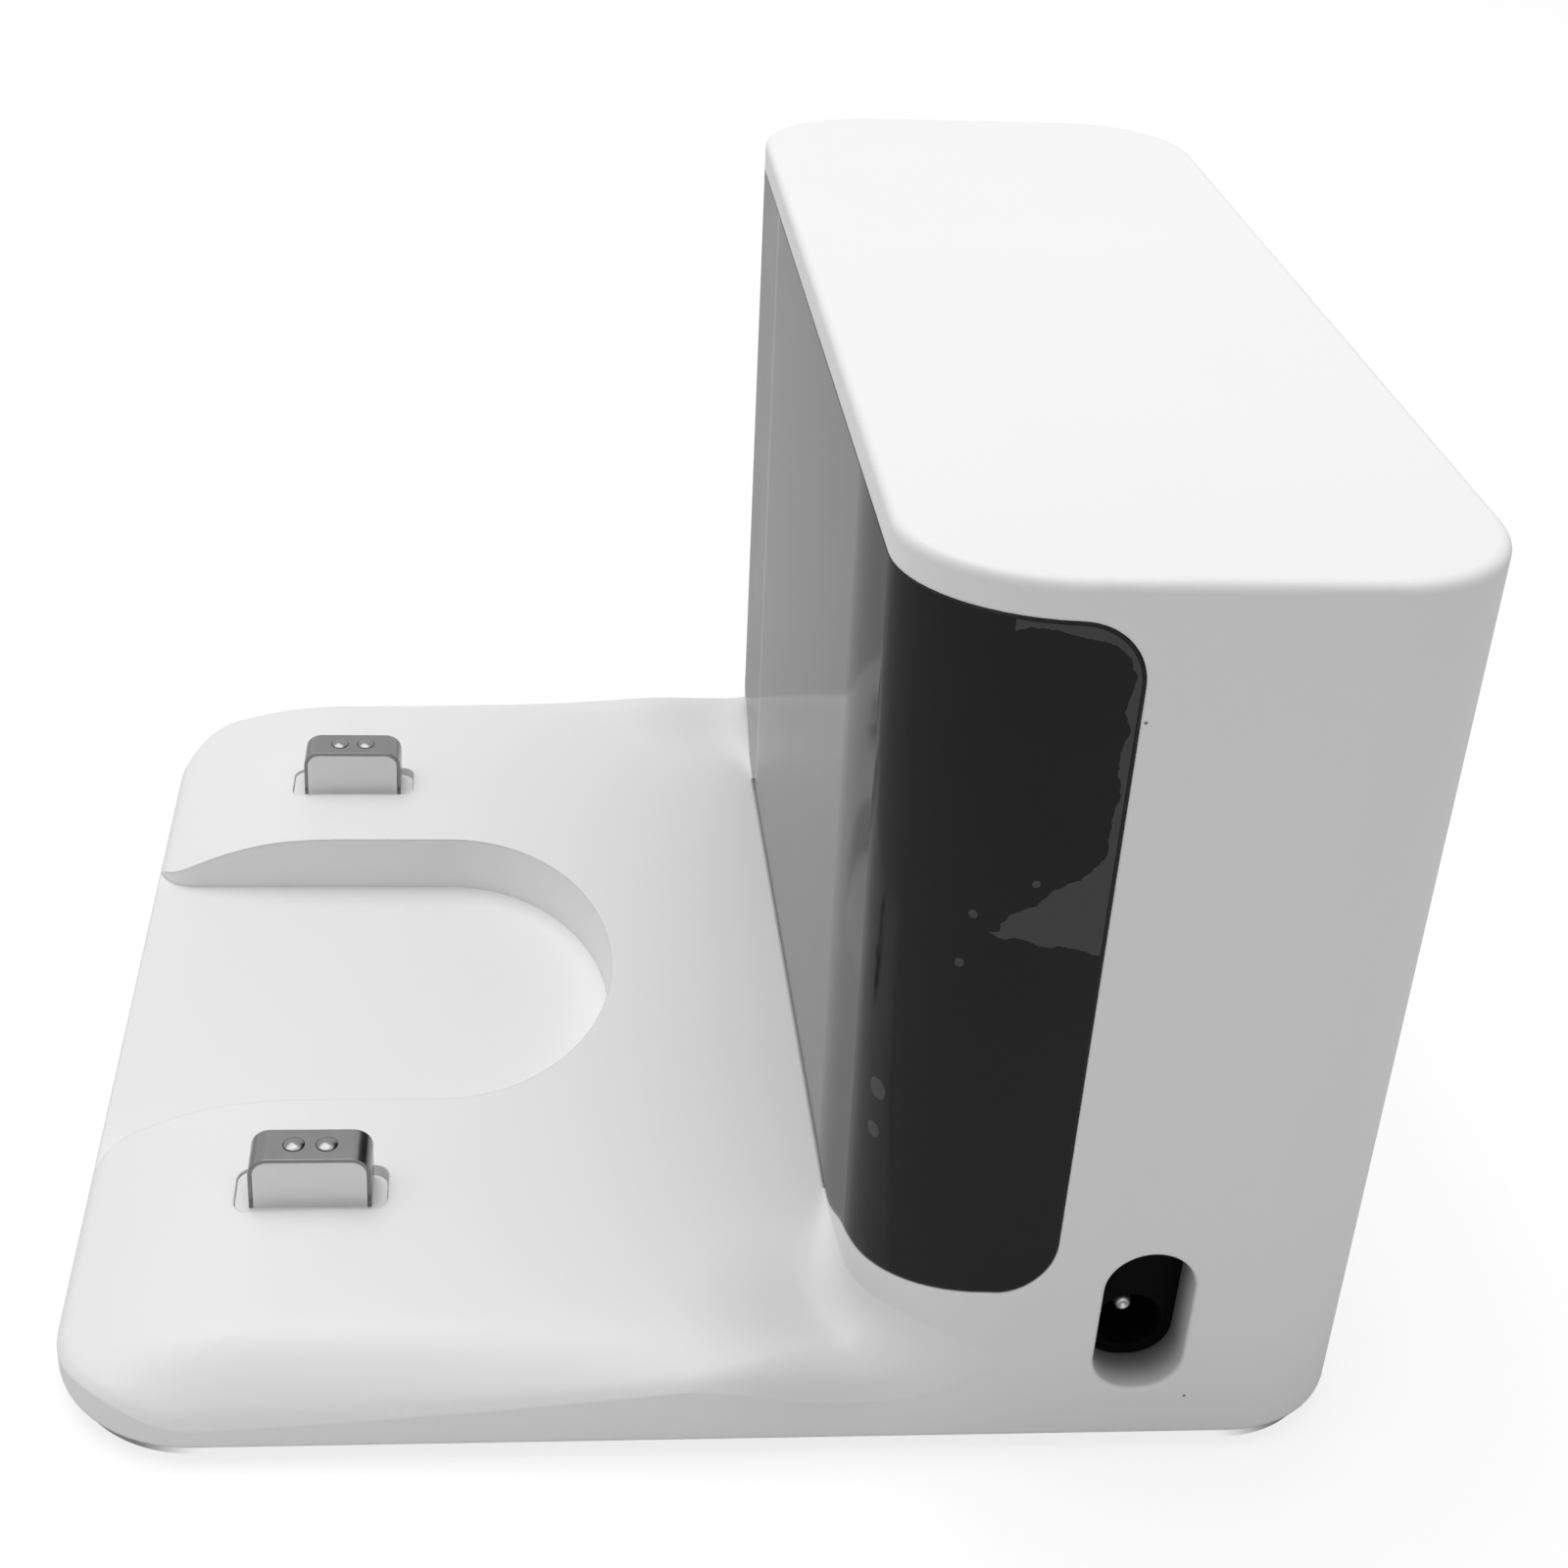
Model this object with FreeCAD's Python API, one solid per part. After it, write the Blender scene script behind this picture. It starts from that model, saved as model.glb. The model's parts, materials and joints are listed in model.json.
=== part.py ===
import FreeCAD, Part
import math
import os
from FreeCAD import Vector

# Charging dock of a robot vacuum cleaner, in millimetres.
# X runs across the dock, Y from the ramp's front edge (minus) to the back (plus), Z up.
# The origin is on the floor, under the middle of the dock's outline.

# Overall sizes
width = 130.0
depth = 126.0
height = 93.0
skirt_z = 2.0             # lower edge of the housing, above the floor
wall = 2.2                # moulded wall
top_wall = 2.5            # tower's top wall
seat_gap = 0.1            # moulded pieces that drop into each other
screw_gap = 0.02          # shank in its pilot hole

# Tower
tower_depth = 49.5        # front to back at the skirt
side_draft = 0.011        # each side leans in by this for each mm of height
front_lean = 0.026        # the front leans forward by this for each mm of height
corner_x = 12.0           # front corner, across
corner_y = 15.0           # front corner, along
back_radius = 12.8
top_round = 1.0

# Ramp plate
plate_height = 8.7        # flat middle, above the skirt
plate_radius = 14.4
lip_height = 2.0          # front edge of the ramp, above the skirt
edge_early = 0.31         # share of the side edge's rise that is even along it
edge_round = 0.8          # outer edge of the upper face
round_run_on = 0.9        # how steeply a round runs on past its end, for each mm of its radius
crown_cell = 4.0          # cells of the upper face's smooth surface
edge_cell = 0.6           # and of its rounded edges
front_roll = 21.0         # length of the slope at the front
side_roll = 8.0           # width of the rounded band along each side
plate_tuck = 26.5         # the plate runs on this far under the tower
fairing_start = 40.0      # the plate sweeps up to the tower's corners from this X
fairing_width = 16.0
fairing_round = 4.5       # radius of the sweep
shoulder_start = 59.0     # the side edges soften from here to the tower, from the front edge
shoulder_round = 4.5

# Caster recess in the plate
recess_width = 50.4
recess_length = 36.8      # from the front edge to the start of its round end
recess_end = 19.2         # length of its round end
recess_corner = 4.6       # corners where it opens at the front
recess_step = 0.4         # its floor, below the front edge

# Smoked window round the tower's front
window_band = 3.6         # white band left above it
window_wrap = 17.2        # how far it runs back along each side
window_side_rise = 9.1    # its lower edge on the sides, above the plate
window_wrap_rise = 7.3    # its lower edge where it leaves the front, above the plate
window_turn = 0.4         # its lower edge leaves the front this far behind it
window_sink = 1.2         # it stands this far in a groove behind the plate
window_radius = 5.8
window_thick = 2.0
window_seat = 0.05
ledge_width = 2.5
ledge_thick = 1.6
fairing_margin = 0.35     # the plate's sweep stays this far under the window

# Bottom cover, feet and screws
cover_bottom = 1.0
cover_thick = 1.5
collar_radius = 4.0
collar_height = 1.9
foot_radius = 5.0
foot_sink = 0.7
foot_bevel = 0.4
foot_inset_side = 11.0
foot_inset_front = 31.0
foot_inset_back = 17.0
screw_inset_side = 12.0
screw_inset_front = 13.0
screw_inset_tower = 11.5  # middle pair, in front of the tower
screw_inset_back = 9.0
screw_back_spacing = 88.0
screw_head_radius = 2.6
screw_head_height = 1.7
screw_shank_radius = 1.3
screw_reach = 2.8         # how far the shank stands in its boss
boss_radius = 3.2
tower_boss_height = 15.6
pilot_spare = 0.2
drive_length = 3.0        # cross in the screw's head
drive_width = 0.7
drive_depth = 1.0

# Spring contacts
contact_spacing = 78.2
contact_setback = 24.0    # from the front edge
contact_rise = 5.6        # above the plate
strip_width = 4.65
strip_length = 12.3
strip_thick = 0.4
strip_round = 2.0
strip_foot = 4.95         # length of each end folded in under the flange
bump_radius = 0.9
bump_height = 0.35
bump_pitch = 3.3
slot_width = 6.5
slot_length = 15.4
slot_corner = 1.6
contact_roof = 2.2        # plate over the flat that the contact's flange rests against
flange_width = 8.5
flange_length = 17.4
flange_thick = 1.2
guide_gap = 0.3
guide_wall = 1.2
spring_radius = 1.6       # mean radius of the coil
spring_wire = 0.35
spring_turns = 3.0
spring_spacing = 7.2
spring_gap = 0.05
terminal_thick = 0.4
terminal_sink = 0.5
terminal_width = 4.6
terminal_margin = 0.4
terminal_tail = 3.4

# Power inlet in the near side
jack_setback = 22.9       # from the back
jack_height = 9.9         # above the skirt
inlet_width = 8.6
inlet_height = 16.5
inlet_below = 4.3         # from the jack's middle down
inlet_corner = 3.9
inlet_round = 0.4         # its outer edge
inlet_depth = 4.7
inlet_wall = 1.6
jack_flange_thick = 1.6
jack_body_width = 10.0
jack_body_height = 12.0
jack_body_length = 13.0
jack_bore_radius = 3.2
jack_bore_depth = 10.5
jack_pin_radius = 0.8
jack_pin_round = 0.6
jack_pin_recess = 2.0
jack_tail_length = 3.5
jack_tail_width = 2.4
jack_tail_thick = 0.5
jack_tail_pitch = 5.0
jack_rail = 1.6

# Control board behind the window
board_setback = 11.7      # behind the tower's front
board_thick = 1.6
board_width = 84.0
board_height = 48.0
board_rise = 24.0         # above the skirt
board_corner = 2.0
post_spacing = 72.0
post_inset = 6.0
post_tip_radius = 3.0
post_root_radius = 4.5
board_screw_head_radius = 1.9
board_screw_head_height = 1.3
board_screw_shank_radius = 0.95
board_screw_length = 7.5
board_drive_length = 2.4
board_drive_width = 0.5
board_drive_depth = 0.7
led_rise = 34.0           # above the board's lower edge
led_pitch = 22.0
led_radius = 2.5
led_rim_radius = 2.9
led_rim_thick = 1.0
led_body = 5.6
shroud_depth = 8.5
shroud_height = 13.0
shroud_wall = 1.2
shroud_overhang = 9.0
socket_spacing = 44.0
power_socket_x = 4.0
socket_width = 7.0
socket_depth = 5.0
socket_height = 6.5
socket_wall = 0.8
socket_rise = 3.0         # above the board's lower edge

# Leads inside
lead_radius = 0.65
lead_bend = 4.5
lead_climb = 8.0
lead_pair = 2.8           # between the two leads of the power socket
lead_run = 14.0           # straight part behind the inlet
notch_width = 5.0
notch_height = 4.5

# Places worked out from the sizes above
half_w = width / 2
half_d = depth / 2
tower_front = half_d - tower_depth
plate_top = skirt_z + plate_height
lip_z = skirt_z + lip_height
plate_back = tower_front + plate_tuck
roll_start = front_roll - half_d
shoulder_y = shoulder_start - half_d
recess_y = recess_length - half_d
recess_floor = lip_z - recess_step
window_top = height - window_band
window_end = tower_front + window_wrap
window_side_z = plate_top + window_side_rise
window_wrap_z = plate_top + window_wrap_rise
cover_top = cover_bottom + cover_thick
collar_top = cover_top + collar_height
contact_x = contact_spacing / 2
contact_y = contact_setback - half_d
contact_top = plate_top + contact_rise
contact_ceiling = plate_top - contact_roof
flange_low = contact_ceiling - flange_thick
strip_low = flange_low - strip_thick
spring_low = cover_top - terminal_sink + terminal_thick
jack_y = half_d - jack_setback
jack_z = skirt_z + jack_height
inlet_bottom = jack_z - inlet_below
inlet_top = inlet_bottom + inlet_height
inlet_floor_x = half_w - inlet_depth
jack_back_x = inlet_floor_x - jack_flange_thick - jack_body_length
board_y = tower_front + board_setback
board_back = board_y + board_thick
board_bottom = skirt_z + board_rise
led_z = board_bottom + led_rise
socket_z = board_bottom + socket_rise
socket_x = socket_spacing / 2
socket_lead_y = board_back + socket_depth / 2
socket_lead_z = socket_z + socket_height / 2
bezier_round = 0.5523     # pulls a cubic curve on to a quarter of a circle
CLEAR = 5.0               # how far a cutting body stands past what it cuts


def foot_places():
    x = half_w - foot_inset_side
    front = foot_inset_front - half_d
    back = half_d - foot_inset_back
    return [(-x, front), (x, front), (x, back), (-x, back)]


def screw_places():
    """Three pairs of cover screws: front, middle and back."""
    side = half_w - screw_inset_side
    rows = [
        (side, screw_inset_front - half_d),
        (side, tower_front - screw_inset_tower),
        (screw_back_spacing / 2, half_d - screw_inset_back),
    ]
    return [(end * x, y) for x, y in rows for end in (-1, 1)]


def board_post_places():
    x = post_spacing / 2
    low = board_bottom + post_inset
    high = board_bottom + board_height - post_inset
    return [(-x, low), (x, low), (x, high), (-x, high)]


def box(x0, x1, y0, y1, z0, z1):
    """A box between two corners."""
    return Part.makeBox(x1 - x0, y1 - y0, z1 - z0, Vector(x0, y0, z0))


def post(x, y, z0, z1, radius):
    """An upright cylinder."""
    return Part.makeCylinder(radius, z1 - z0, Vector(x, y, z0))


def along_x(x0, x1, y, z, radius):
    """A cylinder along X."""
    return Part.makeCylinder(radius, x1 - x0, Vector(x0, y, z), Vector(1, 0, 0))


def along_y(x, y0, y1, z, radius):
    """A cylinder along Y."""
    return Part.makeCylinder(radius, y1 - y0, Vector(x, y0, z), Vector(0, 1, 0))


def line(start, end):
    return Part.makeLine(start, end)


def quarter(centre, start, end):
    """A quarter of an ellipse round a centre, from centre + start to centre + end."""
    curve = Part.BezierCurve()
    curve.setPoles([
        centre + start,
        centre + start + end * bezier_round,
        centre + end + start * bezier_round,
        centre + end,
    ])
    return curve.toShape()


def prism(edges, direction):
    """A solid from a closed run of flat edges, pushed along a direction."""
    return Part.Face(Part.Wire(edges)).extrude(direction)


def rounded_plan(x0, x1, y0, y1, z, radius, rise):
    """An upright block with four rounded corners."""
    ring = [
        (Vector(x1 - radius, y0 + radius, z), Vector(0, -radius, 0), Vector(radius, 0, 0)),
        (Vector(x1 - radius, y1 - radius, z), Vector(radius, 0, 0), Vector(0, radius, 0)),
        (Vector(x0 + radius, y1 - radius, z), Vector(0, radius, 0), Vector(-radius, 0, 0)),
        (Vector(x0 + radius, y0 + radius, z), Vector(-radius, 0, 0), Vector(0, -radius, 0)),
    ]
    return prism(joined_corners(ring), Vector(0, 0, rise))


def joined_corners(ring):
    """Edges of a closed outline: rounded corners with straight runs between them."""
    edges = []
    for index, (centre, start, end) in enumerate(ring):
        following, next_start, _ = ring[(index + 1) % len(ring)]
        edges.append(quarter(centre, start, end))
        edges.append(line(centre + end, following + next_start))
    return edges


def half_width_at(z):
    return half_w - side_draft * (z - skirt_z)


def front_at(z):
    return tower_front - front_lean * (z - skirt_z)


def tower_wire(z, inset):
    """The tower's outline at one height, moved in by an inset."""
    side = half_width_at(z) - inset
    front = front_at(z) + inset
    back = half_d - inset
    rx = corner_x - inset
    ry = corner_y - inset
    rb = back_radius - inset
    ring = [
        (Vector(side - rx, front + ry, z), Vector(0, -ry, 0), Vector(rx, 0, 0)),
        (Vector(side - rb, back - rb, z), Vector(rb, 0, 0), Vector(0, rb, 0)),
        (Vector(rb - side, back - rb, z), Vector(0, rb, 0), Vector(-rb, 0, 0)),
        (Vector(rx - side, front + ry, z), Vector(-rx, 0, 0), Vector(0, -ry, 0)),
    ]
    return Part.Wire(joined_corners(ring))


def tower(inset, z0, z1):
    """The leaning tower between two heights, moved in by an inset."""
    return Part.makeLoft([tower_wire(z0, inset), tower_wire(z1, inset)], True, True)


def plate_wire(z, inset):
    """The ramp plate's outline at one height, with its back edge under the tower."""
    side = half_width_at(z) - inset
    front = inset - half_d
    r = plate_radius - inset
    right = Vector(side - r, front + r, z)
    left = Vector(r - side, front + r, z)
    back_right = Vector(side, plate_back, z)
    back_left = Vector(-side, plate_back, z)
    return Part.Wire([
        quarter(right, Vector(0, -r, 0), Vector(r, 0, 0)),
        line(right + Vector(r, 0, 0), back_right),
        line(back_right, back_left),
        line(back_left, left - Vector(r, 0, 0)),
        quarter(left, Vector(-r, 0, 0), Vector(0, -r, 0)),
        line(left - Vector(0, r, 0), right - Vector(0, r, 0)),
    ])


def ease(value):
    """Runs smoothly from 0 to 1."""
    value = min(1.0, max(0.0, value))
    return value * value * (3 - 2 * value)


def tower_distance(x, y):
    """How far a point of the plate lies in front of the tower's rounded outline, less than 0 inside it."""
    across = max(0.0, (abs(x) - half_w + corner_x) / corner_x)
    along = max(0.0, (tower_front + corner_y - y) / corner_y)
    if across == 0:
        return tower_front - y
    radius = (across * corner_x + along * corner_y) / (across + along)
    return (math.hypot(across, along) - 1) * radius


def edge_distance(x, y):
    """How far a point of the plate lies inside its outline at the front and the sides."""
    past_x = abs(x) - half_w + plate_radius
    past_y = plate_radius - half_d - y
    if past_x > 0 and past_y > 0:
        return plate_radius - math.hypot(past_x, past_y)
    return plate_radius - max(past_x, past_y)


def quarter_round(reach, radius, run_on):
    """Height of a quarter round of this radius, at a reach from its steep end."""
    if reach >= radius:
        return 0.0
    if reach <= 0:
        return radius * (1 - run_on * reach)
    return radius - math.sqrt(radius ** 2 - (radius - reach) ** 2)


def crown_height(x, y, run_on):
    """Height of the plate's upper face, which rolls down in front and along the sides."""
    slope = max(0.0, (roll_start - y) / front_roll)
    centre = plate_top - (plate_top - lip_z) * slope ** 2
    share = min(1.0, (y + half_d) / (tower_front + half_d))
    edge = lip_z + (plate_top - lip_z) * share * (edge_early + (1 - edge_early) * share)
    roll = max(0.0, (abs(x) - half_w + side_roll) / side_roll)
    sweep = fairing_round * ease((abs(x) - fairing_start) / fairing_width)
    soften = ease((y - shoulder_y) / (tower_front - shoulder_y))
    shoulder = edge_round + (shoulder_round - edge_round) * soften
    rise = quarter_round(tower_distance(x, y), sweep, run_on)
    drop = quarter_round(edge_distance(x, y), shoulder, run_on)
    return centre - (centre - edge) * roll ** 2 + rise - drop


def graded_knots(stops):
    """Knots of a smooth surface, closer together where it bends, and the places of its poles."""
    knots = [stops[0][0]]
    for (start, cell), (end, _) in zip(stops, stops[1:]):
        count = max(1, round((end - start) / cell))
        knots += [start + (end - start) * (index + 1) / count for index in range(count)]
    padded = [knots[0]] * 3 + knots + [knots[-1]] * 3
    poles = [sum(padded[index + 1:index + 4]) / 3 for index in range(len(padded) - 4)]
    return knots, poles


def crown_cutter(lowered, cell, run_on):
    """Everything above the plate's upper face, as a smooth surface with small cells at its edges."""
    side = half_w + CLEAR / 4
    front = -half_d - CLEAR / 4
    back = plate_back + CLEAR / 4
    fine_x = half_w - plate_radius
    fine_front = plate_radius - half_d
    corner_end = tower_front + corner_y
    wide = crown_cell
    knots_x, poles_x = graded_knots([(-side, cell), (-fine_x, wide), (fine_x, cell), (side, cell)])
    knots_y, poles_y = graded_knots([(front, cell), (fine_front, wide), (shoulder_y, cell),
                                     (corner_end, wide), (back, wide)])
    poles = [[Vector(x, y, crown_height(x, y, run_on) - lowered) for y in poles_y] for x in poles_x]
    counts_x = [4] + [1] * (len(knots_x) - 2) + [4]
    counts_y = [4] + [1] * (len(knots_y) - 2) + [4]
    surface = Part.BSplineSurface()
    surface.buildFromPolesMultsKnots(poles, counts_x, counts_y, knots_x, knots_y, False, False, 3, 3)
    return surface.toShape().extrude(Vector(0, 0, height))


def plate(inset, lowered, bottom):
    """The ramp plate under its crowned face, moved in and lowered for the hollow below it."""
    ceiling = plate_top + fairing_round + CLEAR
    blank = Part.makeLoft([plate_wire(bottom, inset), plate_wire(ceiling, inset)], True, True)
    if inset == 0:
        return blank.cut(crown_cutter(lowered, edge_cell, round_run_on))
    return blank.cut(crown_cutter(lowered, crown_cell / 2, 0.0))


def recess_block(grow, z0, z1):
    """The caster recess: round at its end, and flared where it opens at the front."""
    half = recess_width / 2 + grow
    flare = recess_corner - grow
    mouth = half + flare
    front = -half_d - CLEAR
    end = Vector(0, recess_end + grow, 0)
    middle = Vector(0, recess_y, z0)
    across = Vector(half, 0, 0)
    right = Vector(mouth, flare - half_d, z0)
    left = Vector(-mouth, flare - half_d, z0)
    down = Vector(0, -flare, 0)
    edges = [
        line(Vector(-mouth, front, z0), Vector(mouth, front, z0)),
        line(Vector(mouth, front, z0), right + down),
        quarter(right, down, Vector(-flare, 0, 0)),
        line(right - Vector(flare, 0, 0), middle + across),
        quarter(middle, across, end),
        quarter(middle, end, -across),
        line(middle - across, left + Vector(flare, 0, 0)),
        quarter(left, Vector(flare, 0, 0), down),
        line(left + down, Vector(-mouth, front, z0)),
    ]
    return prism(edges, Vector(0, 0, z1 - z0))


def window_front_edge(grow):
    """The window seen from the front: its lower corners follow the plate's sweep."""
    top = window_top + grow
    low = plate_top - window_sink - grow
    reach = half_w + CLEAR
    foot = plate_top + fairing_margin - grow
    steps = 6
    curve_points = []
    for index in range(steps + 1):
        x = fairing_start + fairing_width * index / steps
        z = foot + (window_wrap_z - plate_top - fairing_margin) * ease(index / steps)
        curve_points.append(Vector(x, 0, z))
    curve = Part.BSplineCurve()
    curve.interpolate(curve_points)
    mirrored = Part.BSplineCurve()
    mirrored.interpolate([Vector(-p.x, 0, p.z) for p in curve_points])
    first = curve_points[0]
    last = curve_points[-1]
    outer = Vector(reach, 0, last.z)
    return [
        line(Vector(-first.x, 0, low), Vector(first.x, 0, low)),
        line(Vector(first.x, 0, low), first),
        curve.toShape(),
        line(last, outer),
        line(outer, Vector(reach, 0, top)),
        line(Vector(reach, 0, top), Vector(-reach, 0, top)),
        line(Vector(-reach, 0, top), Vector(-reach, 0, last.z)),
        line(Vector(-reach, 0, last.z), Vector(-last.x, 0, last.z)),
        mirrored.toShape(),
        line(Vector(-first.x, 0, first.z), Vector(-first.x, 0, low)),
    ]


def window_side_edge(grow):
    """The window seen from the side: two rounded corners at its end."""
    top = window_top + grow
    low = plate_top - window_sink - grow
    end = window_end + grow
    r = window_radius + grow
    side_z = window_side_z - grow
    wrap_z = window_wrap_z - grow
    turn = tower_front + window_turn
    front = -CLEAR
    high = Vector(0, end - r, top - r)
    deep = Vector(0, end - r, side_z + r)
    return [
        line(Vector(0, front, low), Vector(0, turn, low)),
        line(Vector(0, turn, low), Vector(0, turn, wrap_z)),
        line(Vector(0, turn, wrap_z), deep - Vector(0, 0, r)),
        quarter(deep, Vector(0, 0, -r), Vector(0, r, 0)),
        line(deep + Vector(0, r, 0), high + Vector(0, r, 0)),
        quarter(high, Vector(0, r, 0), Vector(0, 0, r)),
        line(high + Vector(0, 0, r), Vector(0, front, top)),
        line(Vector(0, front, top), Vector(0, front, low)),
    ]


def window_block(grow):
    """The space inside the window's edges, grown or shrunk all round."""
    seen_from_front = prism(window_front_edge(grow), Vector(0, depth, 0))
    seen_from_front.translate(Vector(0, -CLEAR, 0))
    seen_from_side = prism(window_side_edge(grow), Vector(width + 2 * CLEAR, 0, 0))
    seen_from_side.translate(Vector(-half_w - CLEAR, 0, 0))
    return seen_from_front.common(seen_from_side)


def tower_skin(near, far, z0, z1):
    """A layer of the tower's walls between two insets."""
    return tower(near, z0, z1).cut(tower(far, z0 - CLEAR, z1 + CLEAR))


def make_window():
    skin = tower_skin(0, window_thick - window_seat, skirt_z, height - top_wall)
    return skin.common(window_block(0))


def window_ledge():
    """Step inside the housing that the window is set on."""
    skin = tower_skin(window_thick, window_thick + ledge_thick, skirt_z + CLEAR, height - top_wall)
    return skin.common(window_block(ledge_width))


def arch(grow, x0, x1):
    """The power inlet's outline, round at the top, as a body along X."""
    half = inlet_width / 2 + grow
    r = inlet_corner + grow
    low = inlet_bottom - grow
    spring = inlet_top - inlet_width / 2
    left = Vector(x0, jack_y - half + r, low + r)
    right = Vector(x0, jack_y + half - r, low + r)
    edges = [
        quarter(left, Vector(0, -r, 0), Vector(0, 0, -r)),
        line(left - Vector(0, 0, r), right - Vector(0, 0, r)),
        quarter(right, Vector(0, 0, -r), Vector(0, r, 0)),
        line(right + Vector(0, r, 0), Vector(x0, jack_y + half, spring)),
        Part.Arc(Vector(x0, jack_y + half, spring), Vector(x0, jack_y, spring + half),
                 Vector(x0, jack_y - half, spring)).toShape(),
        line(Vector(x0, jack_y - half, spring), left - Vector(0, r, 0)),
    ]
    return prism(edges, Vector(x1 - x0, 0, 0))


def jack_rails():
    """Two upright hooked ribs that the inlet's black face plate slides up between."""
    edge = inlet_width / 2 + inlet_wall + seat_gap
    hook = jack_body_width / 2 + seat_gap
    back = inlet_floor_x - jack_flange_thick - seat_gap
    rails = []
    for side in (-1, 1):
        inner, outer = sorted((jack_y + side * edge, jack_y + side * (edge + jack_rail)))
        rails.append(box(back - jack_rail, half_w - wall / 2, inner, outer, collar_top, inlet_top))
        inner, outer = sorted((jack_y + side * hook, jack_y + side * (edge + jack_rail)))
        rails.append(box(back - jack_rail, back, inner, outer, collar_top, inlet_top))
    return rails


def screw_boss(x, y):
    """A post that takes one cover screw, with a rib to the back wall in the tower."""
    top = collar_top + tower_boss_height
    boss = post(x, y, collar_top, top, boss_radius)
    if y < tower_front:
        return boss
    rib = box(x - wall / 2, x + wall / 2, y, half_d - wall / 2, collar_top, top)
    return boss.fuse(rib)


def board_post(x, z):
    """A tapered post from the back wall to the board."""
    length = half_d - wall / 2 - board_back
    foot = Vector(x, board_back, z)
    return Part.makeCone(post_tip_radius, post_root_radius, length, foot, Vector(0, 1, 0))


def contact_guide(x, grow):
    """Space or walls round a contact's flange, under the plate."""
    half_x = flange_width / 2 + guide_gap + grow
    half_y = flange_length / 2 + guide_gap + grow
    return box(x - half_x, x + half_x, contact_y - half_y, contact_y + half_y,
               cover_top, contact_ceiling + grow)


def housing_hollow():
    """The space inside the housing, less everything moulded on to its walls."""
    below = skirt_z - CLEAR
    hollow = plate(wall, wall, below).fuse(tower(wall, below, height - top_wall))
    kept = [recess_block(wall, cover_top, plate_top + CLEAR)]
    kept += [contact_guide(x, guide_wall) for x in (contact_x, -contact_x)]
    kept += [screw_boss(x, y) for x, y in screw_places()]
    kept += [board_post(x, z) for x, z in board_post_places()]
    kept += [arch(inlet_wall, inlet_floor_x, half_w)]
    kept += jack_rails()
    kept += [box(-half_w, half_w, tower_front, tower_front + wall, cover_top, plate_top)]
    kept += [window_ledge()]
    return hollow.cut(kept)


def contact_slot(x):
    """Rounded slot in the plate that a contact stands in."""
    half_x = slot_width / 2
    half_y = slot_length / 2
    return rounded_plan(x - half_x, x + half_x, contact_y - half_y, contact_y + half_y,
                        contact_ceiling - CLEAR, slot_corner, height)


def lead_notches():
    """Openings for the leads, in the contact guides and in the wall under the window."""
    notches = []
    half = notch_width / 2
    end = tower_front + 2 * wall
    for x in (contact_x, -contact_x):
        notches.append(box(x - half, x + half, contact_y, end, skirt_z, skirt_z + notch_height))
    return notches


def edges_within(edges, low, high):
    """Those of these edges that lie inside a box, given by two corners."""
    room = FreeCAD.BoundBox(*low, *high)
    return [edge for edge in edges if room.isInside(edge.BoundBox)]


def round_inlet(body):
    """Takes the sharpness off the inlet's outer edge."""
    half = inlet_width / 2 + inlet_round
    rim = edges_within(body.Edges, (half_w - wall, jack_y - half, inlet_bottom - inlet_round),
                       (half_w + inlet_round, jack_y + half, inlet_top + inlet_round))
    return body.makeFillet(inlet_round, rim)


def make_housing():
    body = tower(0, skirt_z, height)
    rim = [e for e in body.Edges if all(abs(v.Z - height) < 1e-6 for v in e.Vertexes)]
    body = body.makeFillet(top_round, rim).fuse(plate(0, 0, skirt_z))
    cuts = [housing_hollow(), recess_block(0, recess_floor, height)]
    cuts += [contact_slot(x) for x in (contact_x, -contact_x)]
    cuts += [contact_guide(x, 0) for x in (contact_x, -contact_x)]
    cuts += lead_notches()
    for x, y in screw_places():
        end = collar_top + screw_reach + pilot_spare
        cuts.append(post(x, y, skirt_z, end, screw_shank_radius + screw_gap))
    for x, z in board_post_places():
        end = board_y + board_screw_length + pilot_spare
        cuts.append(along_y(x, board_y, end, z, board_screw_shank_radius + screw_gap))
    cuts.append(arch(0, inlet_floor_x - CLEAR, half_w + CLEAR))
    pocket = tower_skin(-seat_gap, window_thick, skirt_z, height - top_wall)
    cuts.append(pocket.common(window_block(seat_gap)))
    cuts.append(window_block(-ledge_width).common(tower(0, skirt_z, height - top_wall)))
    return round_inlet(body.cut(cuts).removeSplitter())


def footprint(inset, z, rise):
    """The dock's whole outline as a flat plate."""
    side = half_w - inset
    end = half_d - inset
    rf = plate_radius - inset
    rb = back_radius - inset
    ring = [
        (Vector(side - rf, rf - end, z), Vector(0, -rf, 0), Vector(rf, 0, 0)),
        (Vector(side - rb, end - rb, z), Vector(rb, 0, 0), Vector(0, rb, 0)),
        (Vector(rb - side, end - rb, z), Vector(0, rb, 0), Vector(-rb, 0, 0)),
        (Vector(rf - side, rf - end, z), Vector(-rf, 0, 0), Vector(0, -rf, 0)),
    ]
    return prism(joined_corners(ring), Vector(0, 0, rise))


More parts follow.
